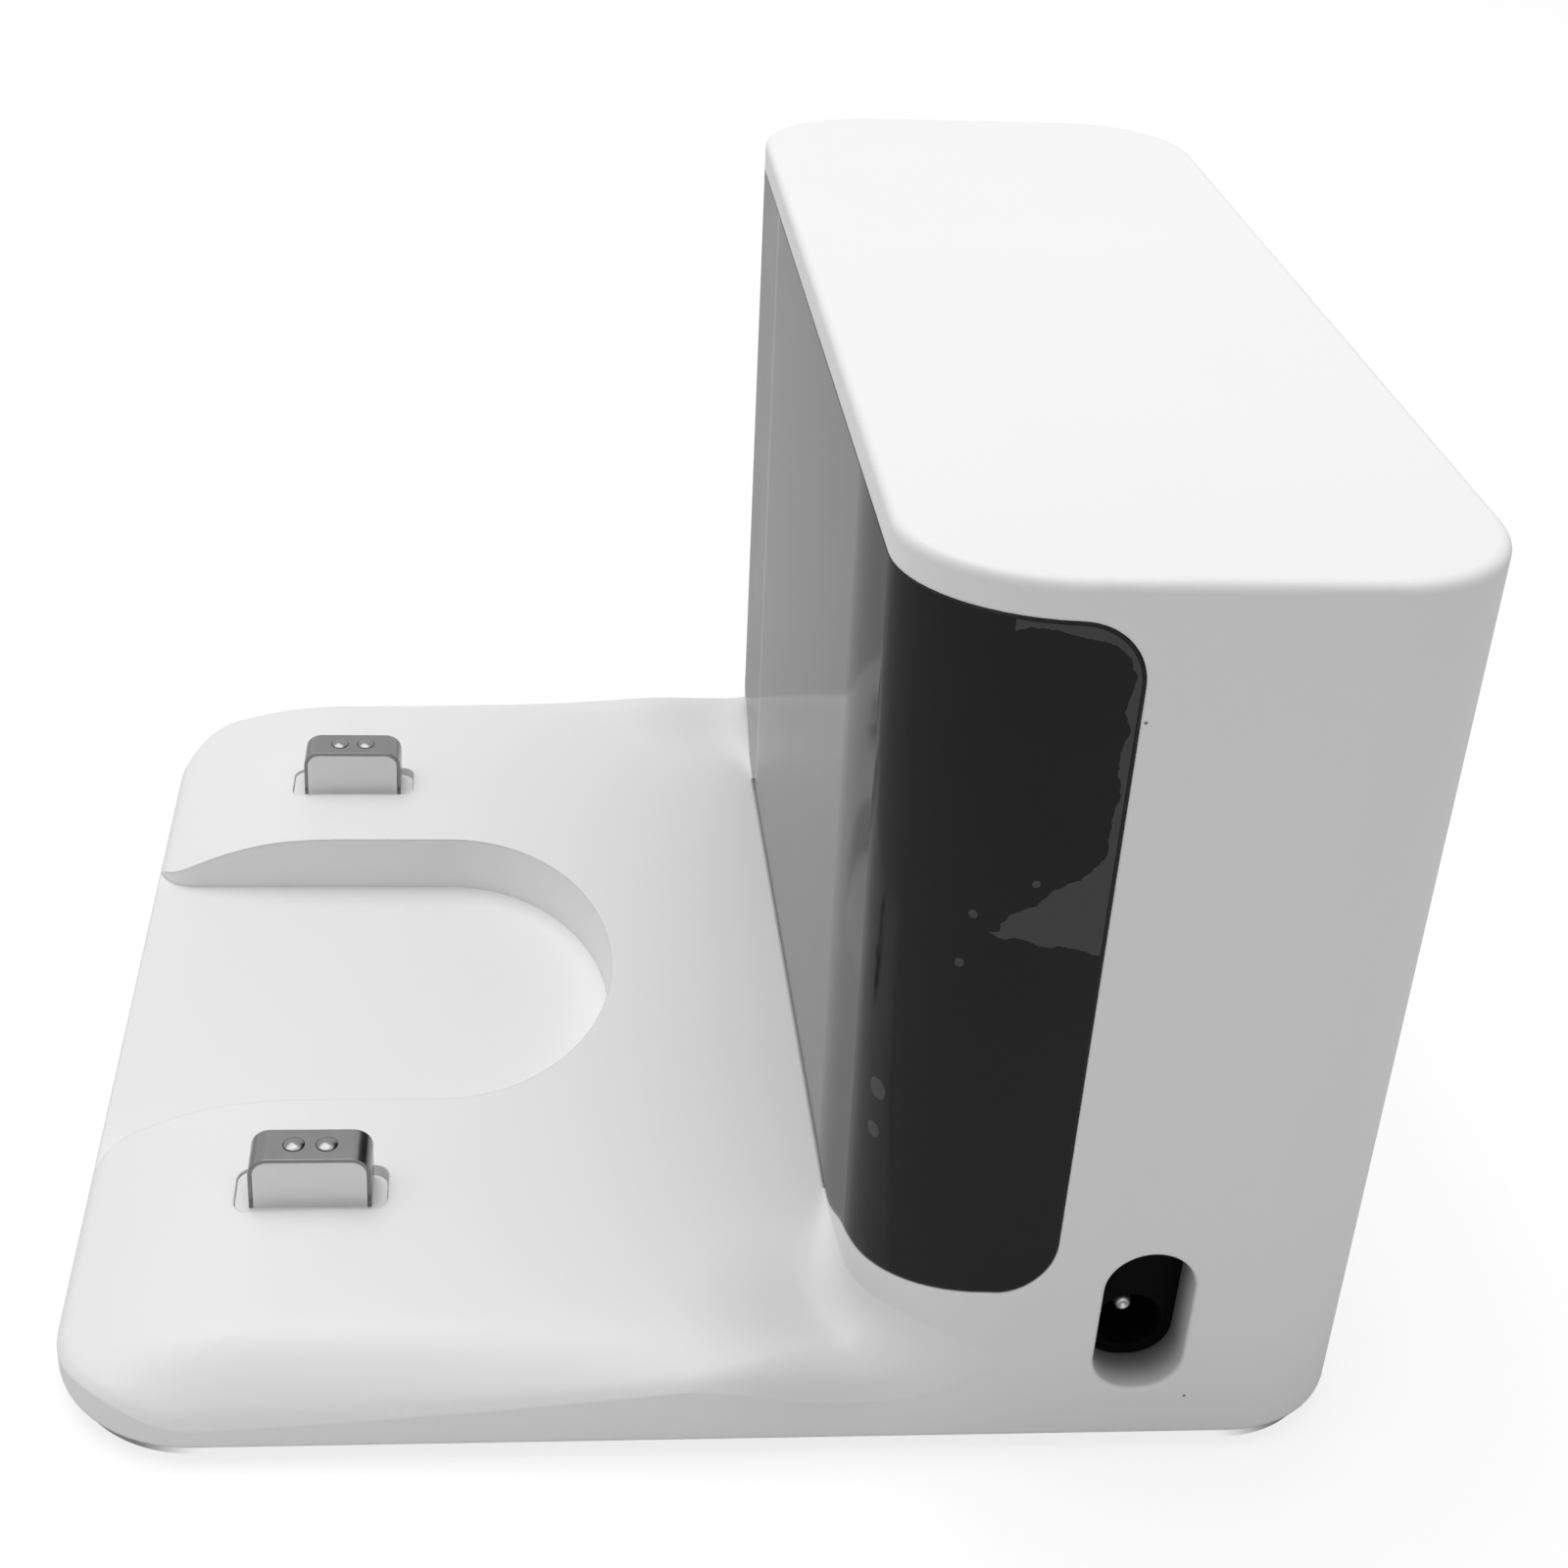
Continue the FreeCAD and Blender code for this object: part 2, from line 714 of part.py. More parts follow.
def make_cover():
    """Flat cover under the dock, with collars for its screws and pockets for the feet."""
    cover = footprint(wall + 2 * seat_gap, cover_bottom, cover_thick)
    collars = [post(x, y, cover_bottom, collar_top, collar_radius) for x, y in screw_places()]
    jack_low = jack_z - jack_body_height / 2
    quarter_length = jack_body_length / 4
    middle = inlet_floor_x - jack_flange_thick - jack_body_length / 2
    collars.append(box(middle - quarter_length, middle + quarter_length, jack_y - jack_body_width / 4,
                       jack_y + jack_body_width / 4, cover_bottom, jack_low))
    cuts = []
    head_top = cover_bottom + pilot_spare + screw_head_height
    for x, y in screw_places():
        cuts.append(post(x, y, cover_bottom, head_top, screw_head_radius + seat_gap))
        cuts.append(post(x, y, cover_bottom, collar_top, screw_shank_radius + seat_gap))
    for x, y in foot_places():
        cuts.append(post(x, y, cover_bottom, cover_bottom + foot_sink, foot_radius + seat_gap))
    for x in (contact_x, -contact_x):
        cuts.append(terminal_plan(x, seat_gap, cover_top - terminal_sink, CLEAR))
    return cover.fuse(collars).cut(cuts).removeSplitter()


def make_foot(x, y):
    foot = post(x, y, 0, cover_bottom + foot_sink, foot_radius)
    lower = [e for e in foot.Edges if e.BoundBox.ZMax < 1e-6]
    return foot.makeChamfer(foot_bevel, lower)


def make_cover_screw(x, y):
    start = cover_bottom + pilot_spare
    head = post(x, y, start, start + screw_head_height, screw_head_radius)
    long = drive_length / 2
    short = drive_width / 2
    slots = [
        box(x - long, x + long, y - short, y + short, start, start + drive_depth),
        box(x - short, x + short, y - long, y + long, start, start + drive_depth),
    ]
    shank = post(x, y, start + screw_head_height, collar_top + screw_reach, screw_shank_radius)
    return head.cut(slots).fuse(shank).removeSplitter()


def upright_hoop(x, half_y, z0, z1, radius, wide):
    """A block across X with its two upper corners rounded, as seen from the side."""
    left = Vector(x - wide / 2, contact_y - half_y, z0)
    right = Vector(x - wide / 2, contact_y + half_y, z0)
    lift = Vector(0, 0, z1 - z0)
    up = Vector(0, 0, radius)
    out = Vector(0, radius, 0)
    high_right = right + lift - out - up
    high_left = left + lift + out - up
    edges = [
        line(left, right),
        line(right, high_right + out),
        quarter(high_right, out, up),
        line(high_right + up, high_left + up),
        quarter(high_left, up, out * -1),
        line(high_left - out, left),
    ]
    return prism(edges, Vector(wide, 0, 0))


def make_strip(x):
    """Sprung contact: a metal strip bent over the block, its ends folded in underneath."""
    half = strip_length / 2
    outer = upright_hoop(x, half, strip_low, contact_top, strip_round, strip_width)
    inner = upright_hoop(x, half - strip_thick, flange_low, contact_top - strip_thick,
                         strip_round - strip_thick, strip_width + CLEAR)
    open_half = half - strip_foot
    mouth = box(x - strip_width, x + strip_width, contact_y - open_half, contact_y + open_half,
                strip_low - CLEAR, flange_low + CLEAR)
    strip = outer.cut([inner, mouth])
    ball = (bump_radius ** 2 + bump_height ** 2) / (2 * bump_height)
    for side in (-1, 1):
        centre = Vector(x, contact_y + side * bump_pitch / 2, contact_top + bump_height - ball)
        cap = Part.makeSphere(ball, centre)
        keep = post(x, centre.y, contact_top - strip_thick, contact_top + CLEAR, bump_radius)
        strip = strip.fuse(cap.common(keep))
    return strip.removeSplitter()


def make_contact_block(x):
    """White block inside the strip, with a flange that holds it under the plate."""
    half = strip_length / 2 - strip_thick
    core = upright_hoop(x, half, flange_low, contact_top - strip_thick,
                        strip_round - strip_thick, strip_width)
    flange = box(x - flange_width / 2, x + flange_width / 2, contact_y - flange_length / 2,
                 contact_y + flange_length / 2, flange_low, contact_ceiling)
    slits = []
    for side in (-1, 1):
        y0, y1 = sorted((contact_y + side * half, contact_y + side * (half + strip_thick + seat_gap)))
        wide = strip_width / 2 + seat_gap
        slits.append(box(x - wide, x + wide, y0, y1, flange_low, contact_ceiling))
    return core.fuse(flange.cut(slits)).removeSplitter()


def make_spring(x, y):
    """A short coil spring between the terminal and the strip's folded end."""
    low = spring_low + spring_gap + spring_wire / 2
    rise = strip_low - spring_gap - spring_wire / 2 - low
    count = round(2 * spring_turns)
    step = Vector(0, 0, rise / count)
    edges = []
    for index in range(count):
        side = 1 - 2 * (index % 2)
        start = Vector(x + side * spring_radius, y, low) + step * index
        middle = Vector(x, y + side * spring_radius, low) + step * (index + 0.5)
        end = Vector(x - side * spring_radius, y, low) + step * (index + 1)
        edges.append(Part.Arc(start, middle, end).toShape())
    first = Vector(x + spring_radius, y, low)
    section = Part.Wire([Part.makeCircle(spring_wire / 2, first, Vector(0, 1, 0))])
    return Part.Wire(edges).makePipeShell([section], True, False)


terminal_reach = spring_spacing / 2 + spring_radius + spring_wire / 2 + terminal_margin


def terminal_plan(x, grow, z, rise):
    """Outline of the metal plate under a contact's springs, with its tail."""
    half_x = terminal_width / 2 + grow
    reach = terminal_reach + grow
    flat = box(x - half_x, x + half_x, contact_y - reach, contact_y + reach, z, z + rise)
    tail_half = terminal_width / 4 + grow
    tail = box(x - tail_half, x + tail_half, contact_y, contact_y + reach + terminal_tail, z, z + rise)
    return flat.fuse(tail).removeSplitter()


def make_terminal(x):
    """Flat metal plate that feeds a contact through its springs."""
    return terminal_plan(x, 0, cover_top - terminal_sink, terminal_thick)


def make_jack_body():
    """Black inlet: face plate behind the recess, round socket and square body."""
    back = inlet_floor_x - jack_flange_thick
    flange = arch(inlet_wall, back, inlet_floor_x)
    body = box(jack_back_x, back, jack_y - jack_body_width / 2, jack_y + jack_body_width / 2,
               jack_z - jack_body_height / 2, jack_z + jack_body_height / 2)
    bore = along_x(inlet_floor_x - jack_bore_depth, inlet_floor_x + CLEAR, jack_y, jack_z, jack_bore_radius)
    pin_hole = along_x(jack_back_x - CLEAR, inlet_floor_x, jack_y, jack_z, jack_pin_radius + screw_gap)
    return flange.fuse(body).cut([bore, pin_hole]).removeSplitter()


def make_jack_pin():
    """The inlet's centre pin, with a rounded tip."""
    tip = inlet_floor_x - jack_pin_recess
    start = jack_back_x - jack_tail_length
    pin = along_x(start, tip, jack_y, jack_z, jack_pin_radius)
    end = [e for e in pin.Edges if e.BoundBox.XMin > tip - 1e-6]
    return pin.makeFillet(jack_pin_round, end)


def make_jack_tail():
    """Flat tail of the inlet's outer contact, on the back of the body."""
    z = jack_z + jack_tail_pitch
    half_y = jack_tail_width / 2
    half_z = jack_tail_thick / 2
    return box(jack_back_x - jack_tail_length, jack_back_x, jack_y - half_y, jack_y + half_y,
               z - half_z, z + half_z)


def make_board():
    """Upright control board on four posts."""
    half = board_width / 2
    board = box(-half, half, board_y, board_back, board_bottom, board_bottom + board_height)
    corners = [e for e in board.Edges if e.BoundBox.XLength < 1e-6 and e.BoundBox.ZLength < 1e-6]
    board = board.makeFillet(board_corner, corners)
    holes = []
    for x, z in board_post_places():
        holes.append(along_y(x, board_y, board_back, z, board_screw_shank_radius + seat_gap))
    return board.cut(holes)


def make_board_screw(x, z):
    head = along_y(x, board_y - board_screw_head_height, board_y, z, board_screw_head_radius)
    long = board_drive_length / 2
    short = board_drive_width / 2
    front = board_y - board_screw_head_height
    slot = box(x - long, x + long, front, front + board_drive_depth, z - short, z + short)
    shank = along_y(x, board_y, board_y + board_screw_length, z, board_screw_shank_radius)
    return head.cut(slot).fuse(shank).removeSplitter()


def make_led(x):
    """Infrared lamp facing the window."""
    rim = along_y(x, board_y - led_rim_thick, board_y, led_z, led_rim_radius)
    body = along_y(x, board_y - led_body, board_y - led_rim_thick, led_z, led_radius)
    dome = Part.makeSphere(led_radius, Vector(x, board_y - led_body, led_z))
    front = along_y(x, board_y - led_body - CLEAR, board_y - led_body, led_z, CLEAR)
    return rim.fuse([body, dome.common(front)]).removeSplitter()


def make_shroud():
    """Black shroud that keeps the three beams apart."""
    half = led_pitch + shroud_overhang
    front = board_y - shroud_depth
    shroud = box(-half, half, front, board_y, led_z - shroud_height / 2, led_z + shroud_height / 2)
    cells = []
    for index in (-1, 0, 1):
        middle = index * led_pitch
        inner = led_pitch / 2 - shroud_wall / 2
        low = led_z - shroud_height / 2 + shroud_wall
        high = led_z + shroud_height / 2 - shroud_wall
        left = max(middle - inner, -half + shroud_wall)
        right = min(middle + inner, half - shroud_wall)
        cells.append(box(left, right, front, board_y - shroud_wall, low, high))
        cells.append(along_y(middle, front, board_y, led_z, led_rim_radius + seat_gap))
    return shroud.cut(cells).removeSplitter()


def make_socket(x):
    """Lead socket on the back of the board, open below."""
    half = socket_width / 2
    end = board_back + socket_depth
    block = box(x - half, x + half, board_back, end, socket_z, socket_z + socket_height)
    half -= socket_wall
    inner = box(x - half, x + half, board_back + socket_wall, end - socket_wall, socket_z, socket_lead_z)
    return block.cut(inner)


def lead(points, bend):
    """A round lead along straight runs with equal bends."""
    edges = []
    start = points[0]
    for before, corner, after in zip(points, points[1:], points[2:]):
        back = (before - corner).normalize()
        on = (after - corner).normalize()
        half_turn = (math.pi - back.getAngle(on)) / 2
        trim = bend * math.tan(half_turn)
        enter = corner + back * trim
        leave = corner + on * trim
        inward = (back + on).normalize()
        middle = corner + inward * (bend / math.cos(half_turn) - bend)
        edges.append(line(start, enter))
        edges.append(Part.Arc(enter, middle, leave).toShape())
        start = leave
    edges.append(line(start, points[-1]))
    path = Part.Wire(edges)
    first = (points[1] - points[0]).normalize()
    section = Part.Wire([Part.makeCircle(lead_radius, points[0], first)])
    return path.makePipeShell([section], True, False)


def make_contact_lead(side):
    """Lead from a contact's terminal back under the plate and up to the board."""
    x = side * contact_x
    tail = contact_y + terminal_reach + terminal_tail / 2
    low = cover_top + lead_radius + seat_gap
    turn = tower_front + 2 * wall + lead_bend
    return lead([
        Vector(x, tail, low),
        Vector(x, turn, low),
        Vector(side * socket_x, socket_lead_y, low + lead_climb),
        Vector(side * socket_x, socket_lead_y, socket_lead_z),
    ], lead_bend)


def make_power_lead(side):
    """Lead from the inlet's centre pin or outer tail to the board's power socket."""
    x = power_socket_x + side * lead_pair / 2
    pin_top = jack_z + jack_pin_radius
    tail_top = jack_z + jack_tail_pitch + jack_tail_thick / 2
    z = (pin_top if side < 0 else tail_top) + lead_radius + seat_gap
    start = jack_back_x - jack_tail_length / 2
    return lead([
        Vector(start, jack_y, z),
        Vector(start - lead_run, jack_y, z),
        Vector(x, socket_lead_y, socket_z - lead_climb),
        Vector(x, socket_lead_y, socket_lead_z),
    ], lead_bend)


def make_all():
    nodes = {
        "upper_housing": make_housing(),
        "ir_window": make_window(),
        "bottom_cover": make_cover(),
        "rubber_feet": Part.makeCompound([make_foot(x, y) for x, y in foot_places()]),
        "cover_screws": Part.makeCompound([make_cover_screw(x, y) for x, y in screw_places()]),
        "control_board": make_board(),
        "board_screws": Part.makeCompound([make_board_screw(x, z) for x, z in board_post_places()]),
        "light_shroud": make_shroud(),
        "jack_body": make_jack_body(),
        "jack_centre_pin": make_jack_pin(),
        "jack_outer_tail": make_jack_tail(),
        "power_lead_positive": make_power_lead(-1),
        "power_lead_negative": make_power_lead(1),
        "power_socket": make_socket(power_socket_x),
    }
    for name, index in (("left", -1), ("centre", 0), ("right", 1)):
        nodes["ir_led_" + name] = make_led(index * led_pitch)
    for name, side in (("near", 1), ("far", -1)):
        x = side * contact_x
        coils = [make_spring(x, contact_y + end * spring_spacing / 2) for end in (-1, 1)]
        nodes["contact_strip_" + name] = make_strip(x)
        nodes["contact_block_" + name] = make_contact_block(x)
        nodes["contact_springs_" + name] = Part.makeCompound(coils)
        nodes["contact_terminal_" + name] = make_terminal(x)
        nodes["contact_lead_" + name] = make_contact_lead(side)
        nodes["contact_socket_" + name] = make_socket(side * socket_x)
    return nodes


os.makedirs("parts", exist_ok=True)
for node, shape in make_all().items():
    shape.exportStep(os.path.join("parts", node + ".step"))
    box_size = shape.BoundBox
    print(node, len(shape.Solids), shape.isValid(), round(shape.Volume, 1),
          [round(v, 1) for v in (box_size.XMin, box_size.XMax, box_size.YMin, box_size.YMax,
                                 box_size.ZMin, box_size.ZMax)])
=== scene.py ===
# %% [markdown]
# # A charging dock for a robot vacuum
# The dock is one white moulding: a ramp plate that the robot drives on to, and a tower at its back.
# A smoked window wraps round the tower's front, two sprung contacts stand in the plate, and a power
# inlet sits in the near side. The CAD frame already holds every solid at its real size, in metres, so
# this lesson dresses it: it makes finishes, remodels the pieces whose edges catch the light, and sets
# up the camera and the light for the picture.

# %% Load the frame
import json
import math
import bmesh
import bpy
from mathutils import Matrix, Vector


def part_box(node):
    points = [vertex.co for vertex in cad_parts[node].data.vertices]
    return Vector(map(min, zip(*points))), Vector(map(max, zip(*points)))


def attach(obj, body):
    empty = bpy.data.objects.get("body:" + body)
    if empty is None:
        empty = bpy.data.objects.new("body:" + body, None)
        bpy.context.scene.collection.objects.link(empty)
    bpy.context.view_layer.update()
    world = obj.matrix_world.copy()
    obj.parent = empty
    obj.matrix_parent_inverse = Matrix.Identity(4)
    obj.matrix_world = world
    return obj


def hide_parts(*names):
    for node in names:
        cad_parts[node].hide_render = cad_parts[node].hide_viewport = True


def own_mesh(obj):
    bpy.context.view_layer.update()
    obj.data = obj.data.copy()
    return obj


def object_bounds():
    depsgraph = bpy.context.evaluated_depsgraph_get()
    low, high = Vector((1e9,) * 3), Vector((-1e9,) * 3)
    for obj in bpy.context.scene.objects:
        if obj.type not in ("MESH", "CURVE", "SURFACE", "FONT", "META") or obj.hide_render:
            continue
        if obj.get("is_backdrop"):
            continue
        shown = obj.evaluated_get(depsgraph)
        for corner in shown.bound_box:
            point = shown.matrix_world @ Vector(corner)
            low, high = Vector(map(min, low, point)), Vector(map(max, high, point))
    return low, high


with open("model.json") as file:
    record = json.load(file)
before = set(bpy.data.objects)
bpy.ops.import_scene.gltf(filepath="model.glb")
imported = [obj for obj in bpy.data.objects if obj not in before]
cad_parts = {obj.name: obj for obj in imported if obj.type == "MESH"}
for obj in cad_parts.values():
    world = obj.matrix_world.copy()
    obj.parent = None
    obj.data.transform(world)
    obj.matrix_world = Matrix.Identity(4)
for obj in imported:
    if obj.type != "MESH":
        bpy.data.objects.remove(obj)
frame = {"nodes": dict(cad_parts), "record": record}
cad_box = [list(corner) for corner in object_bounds()]
slot_of = {row["node"]: row["material_slot"] for row in frame["record"]["subparts"]}


def in_mm(lengths):
    """Lengths in millimetres, for printing."""
    return [round(length * 1000, 2) for length in lengths]


print("solids", len(frame["nodes"]), "box in mm", [in_mm(corner) for corner in cad_box])

# %% [markdown]
# ## The camera
# The picture looks down on the dock from the near side. Its place could be found by trial, but a
# photograph's straight edges fix it: the lens, the place and the turn below are the ones at which the
# corners of a box of this size fall on the corners in the picture. The three rows are the camera's
# right, down and forward directions. The shift stands for the crop, which isn't centred.

# %% Set up the camera
lens = bpy.data.cameras.new("dock_camera")
lens.sensor_width = 36.0
lens.lens = 54.41
lens.shift_x = 0.0714
lens.shift_y = -0.0781
lens.clip_start = 0.01
lens.clip_end = 20.0
camera = bpy.data.objects.new("dock_camera", lens)
right = Vector((0.06292, 0.99707, 0.04344))
down = Vector((0.48309, 0.00766, -0.87554))
forward = Vector((-0.87331, 0.07607, -0.48119))
turn = Matrix((right, -down, -forward)).transposed()
camera.matrix_world = Matrix.Translation((0.22557, -0.02127, 0.17466)) @ turn.to_4x4()
scene = bpy.context.scene
scene.collection.objects.link(camera)
scene.camera = camera
scene.view_settings.view_transform = "Standard"
print("camera at", in_mm(camera.matrix_world.translation), "mm, lens", lens.lens, "mm")

# %% [markdown]
# ## Writing finishes as sums
# A finish is a tree of nodes, and wiring each Math node by hand hides what it works out. This small
# class wraps one output of a node, so that `1 - dust * 0.4` adds the Math nodes by itself. Its method
# `node` makes every other kind: settings first, because some of them change the sockets, and then
# the sockets' values or links.


# %% Wrap a node's output
class Wire:
    """One output of a node in a tree, on which sums can be written."""

    def __init__(self, tree, socket=None):
        self.tree = tree
        self.socket = socket

    def node(self, kind, settings=None, values=None, output=0):
        made = self.tree.nodes.new("ShaderNode" + kind)
        for key, value in (settings or {}).items():
            setattr(made, key, value)
        for key, value in (values or {}).items():
            if isinstance(value, Wire):
                self.tree.links.new(value.socket, made.inputs[key])
            else:
                made.inputs[key].default_value = value
        return Wire(self.tree, made.outputs[output] if made.outputs else None)

    def sum_of(self, operation, first, second=0.0):
        return self.node("Math", {"operation": operation}, {0: first, 1: second})

    def __add__(self, other):
        return self.sum_of("ADD", self, other)

    def __sub__(self, other):
        return self.sum_of("SUBTRACT", self, other)

    def __rsub__(self, other):
        return self.sum_of("SUBTRACT", other, self)

    def __mul__(self, other):
        return self.sum_of("MULTIPLY", self, other)

    def __lt__(self, other):
        return self.sum_of("LESS_THAN", self, other)

    def __gt__(self, other):
        return self.sum_of("GREATER_THAN", self, other)

    def __abs__(self):
        return self.sum_of("ABSOLUTE", self)

    __radd__ = __add__
    __rmul__ = __mul__


print("sums on wires are ready")

# %% [markdown]
# ## Measuring on the object
# Marks and shades sit at real places on the dock, so the finishes measure from its own coordinates,
# in metres. A painted image could hold them too, but a measure stays sharp close up and needs no
# unwrapping. These helpers read a place, split it into its axes, find how far it is from a point,
# take the larger of two values, and step softly from one value to another.


# %% Measure places
def object_place(start):
    """Where a point of the surface is, in the object's own coordinates."""
    return start.node("TexCoord", output="Object")


def axes(start, place):
    """A place's x, y and z."""
    return [start.node("SeparateXYZ", values={"Vector": place}, output=axis) for axis in "XYZ"]


def distance(start, place, point):
    """How far a place is from a point."""
    return start.node("VectorMath", {"operation": "DISTANCE"}, {0: place, 1: point}, output="Value")


def larger(first, second):
    """The larger of two values, which joins two masks."""
    return first.sum_of("MAXIMUM", first, second)


def soft_step(start, value, first, last, low, high):
    """Goes smoothly from low to high while the value goes from first to last."""
    return start.node("MapRange", {"interpolation_type": "SMOOTHSTEP"},
                      {"Value": value, "From Min": first, "From Max": last, "To Min": low, "To Max": high})


print("measures are ready")

# %% [markdown]
# ## Floor and light
# The dock stands on a pale table in even studio light. A white dome gives that light, and the camera
# sees it as plain white. A table that is white to the camera would also throw half of the dome's
# light back up, and the upright walls would lose the grey that shapes them. So the floor is white
# only to the camera. It is dimmer in reflections, so that the window stays dark, and dull paper to the
# light that bounces between it and the dock. Just inside the plate's round corners the skirt keeps
# the light out, and a soft white floor loses that thin dark line. Two rounds measured from the
# corners' own centres paint it back as a painted shadow of darker paper.

# %% Find the shaded corners
# Each corner's centre, its radius, and its way along Y
CORNERS = (((0.0506, -0.0486), 0.01328, -1.0), ((0.0522, 0.0502), 0.01174, 1.0))
FADE_OUT = (0.004, 0.010)
FADE_ALONG = (-0.001, 0.006)
CORNER_SHARE = 0.9


def corner_shade(start):
    """Rises from 0 on the floor just inside the dock's round corners, at the front and at the back."""
    x, y, _ = axes(start, object_place(start))
    shaded = 0.0
    for middle, radius, way in CORNERS:
        out = abs(x) - middle[0]
        along = (y - middle[1]) * way
        within = out * out + along * along < radius ** 2
        sideways = soft_step(start, out, *FADE_OUT, 0.0, CORNER_SHARE)
        lengthways = soft_step(start, along, *FADE_ALONG, 0.0, CORNER_SHARE)
        shaded = shaded + within * sideways * lengthways
    return shaded


print("shaded corners have radii of", in_mm(radius for _, radius, _ in CORNERS), "mm")

# %% Lay the floor
FLOOR_HALF = 3.0
GLOW = 0.76
SHOWN_GREY = 0.3
CORNER_SHADOW_GREY = 0.1
BOUNCE_GREY = 0.8
MIRRORED_GREY = 0.64
SEEN = ("Is Camera Ray", "Is Transmission Ray")
MIRRORED = "Is Glossy Ray"


def new_mesh(name, bm):
    """Turns a bmesh into an object at the origin."""
    mesh = bpy.data.meshes.new(name)
    bm.to_mesh(mesh)
    bm.free()
    made = bpy.data.objects.new(name, mesh)
    scene.collection.objects.link(made)
    return made


def empty_tree(owner):
    """Clears the nodes of a material or a world, and gives back the wire that new ones are made with."""
    owner.use_nodes = True
    owner.node_tree.nodes.clear()
    return Wire(owner.node_tree)


def rays(start, *kinds):
    """1 for rays of these kinds, and 0 for the others."""
    return start.sum_of("MINIMUM", sum(start.node("LightPath", output=kind) for kind in kinds), 1.0)


def grey(level):
    """A grey as a colour."""
    return (level, level, level, 1)


def paper(start, level):
    """Dull paper of one grey."""
    return start.node("BsdfDiffuse", values={"Color": grey(level)})


def either(start, factor, first, second):
    """The first shader where the factor is 0, and the second where it is 1."""
    return start.node("MixShader", values={0: factor, 1: first, 2: second})


bm = bmesh.new()
bmesh.ops.create_grid(bm, x_segments=2, y_segments=2, size=FLOOR_HALF)
floor = new_mesh("table", bm)
table_white = bpy.data.materials.new("table_white")
start = empty_tree(table_white)
glow = start.node("Emission", values={"Color": grey(GLOW)})
lit = start.node("AddShader", values={0: paper(start, SHOWN_GREY), 1: glow})
# Painted shadow: darker paper just inside the round corners
shown = either(start, corner_shade(start), lit, paper(start, CORNER_SHADOW_GREY))
unseen = either(start, rays(start, MIRRORED), paper(start, BOUNCE_GREY), paper(start, MIRRORED_GREY))
both = either(start, rays(start, *SEEN), unseen, shown)
start.node("OutputMaterial", values={"Surface": both})
floor.data.materials.append(table_white)
floor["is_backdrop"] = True
print("floor", [round(v, 2) for v in floor.dimensions], "m")

# %% Hang the dome and the softboxes
DOME_LIGHT = 0.46
LAMPS_FACE = Vector((0, 0, 0.05))
world = bpy.data.worlds.new("studio")
scene.world = world
start = empty_tree(world)
strength = DOME_LIGHT + rays(start, *SEEN, MIRRORED) * (1.0 - DOME_LIGHT)
dome = start.node("Background", values={"Color": grey(1.0), "Strength": strength})
start.node("OutputWorld", values={"Surface": dome})
for name, place, size, watts in (("high_softbox", (-0.24, -0.28, 1.1), 0.9, 6.6),
                                 ("top_softbox", (0.0, 0.06, 0.42), 0.25, 0.22)):
    lamp = bpy.data.lights.new(name, "AREA")
    lamp.energy = watts
    lamp.size = size
    softbox = bpy.data.objects.new(name, lamp)
    softbox.location = place
    softbox.rotation_euler = (LAMPS_FACE - softbox.location).to_track_quat("-Z", "Y").to_euler()
    scene.collection.objects.link(softbox)
    print(name, watts, "W, dome", DOME_LIGHT)

# %% [markdown]
# ## Moulded plastic
# Most of the dock is injection moulded, and no moulding is one flat colour: the tone drifts a little
# where the wall is thicker, the gloss varies where hands have been, and the mould's fine texture
# breaks up highlights. Three noise patterns at three scales give that. Every edge of a moulding is a
# little round. It could be bevelled in the mesh, but the plate is a free-form surface whose smooth
# normals a bevel would spoil, so its narrow rounds come from the Bevel node, which bends the normal
# near an edge.

# %% Write a moulded plastic
BEVEL_SAMPLES = 4
finishes = {}


def open_finish(name):
    """An empty material: the wire that its nodes are made with, and the place that they read."""
    finishes[name] = bpy.data.materials.new(name)
    start = empty_tree(finishes[name])
    return start, object_place(start)


def close_finish(start, values):
    """Adds the shader and the output."""
    shader = start.node("BsdfPrincipled", values=values)
    start.node("OutputMaterial", values={"Surface": shader})


def noise(start, place, scale, detail=2.0):
    """A cloudy pattern from 0 to 1."""
    return start.node("TexNoise", values={"Vector": place, "Scale": scale, "Detail": detail})


def two_tone(start, factor, first, second):
    """A colour between two colours."""
    return start.node("Mix", {"data_type": "RGBA"}, {0: factor, 6: first, 7: second}, output=2)


def shade(colour, share):
    """A lighter or darker tone of a colour."""
    return (*[v * share for v in colour], 1)


def moulded(name, colour, gloss, grain, depth, edge, shine=0.5, marks_and_painted_light=()):
    """A moulded plastic: drifting tone, uneven gloss, fine texture, and edges that are a little round."""
    start, place = open_finish(name)
    tone = two_tone(start, noise(start, place, 22.0), shade(colour, 0.975), shade(colour, 1.02))
    # Specks and patches of painted shade, laid over the tone
    for mask, level in marks_and_painted_light:
        tone = two_tone(start, mask(start, place), tone, grey(level))
    roughness = gloss - 0.06 + noise(start, place, 70.0, 4.0) * 0.12
    rounded = start.node("Bevel", {"samples": BEVEL_SAMPLES}, {"Radius": edge})
    bumps = start.node("Bump", values={"Strength": 0.35, "Distance": depth,
                                       "Height": noise(start, place, grain), "Normal": rounded})
    close_finish(start, {"Base Color": tone, "Roughness": roughness, "Normal": bumps,
                         "Specular IOR Level": shine})


print("a plastic takes its edges from", BEVEL_SAMPLES, "samples")
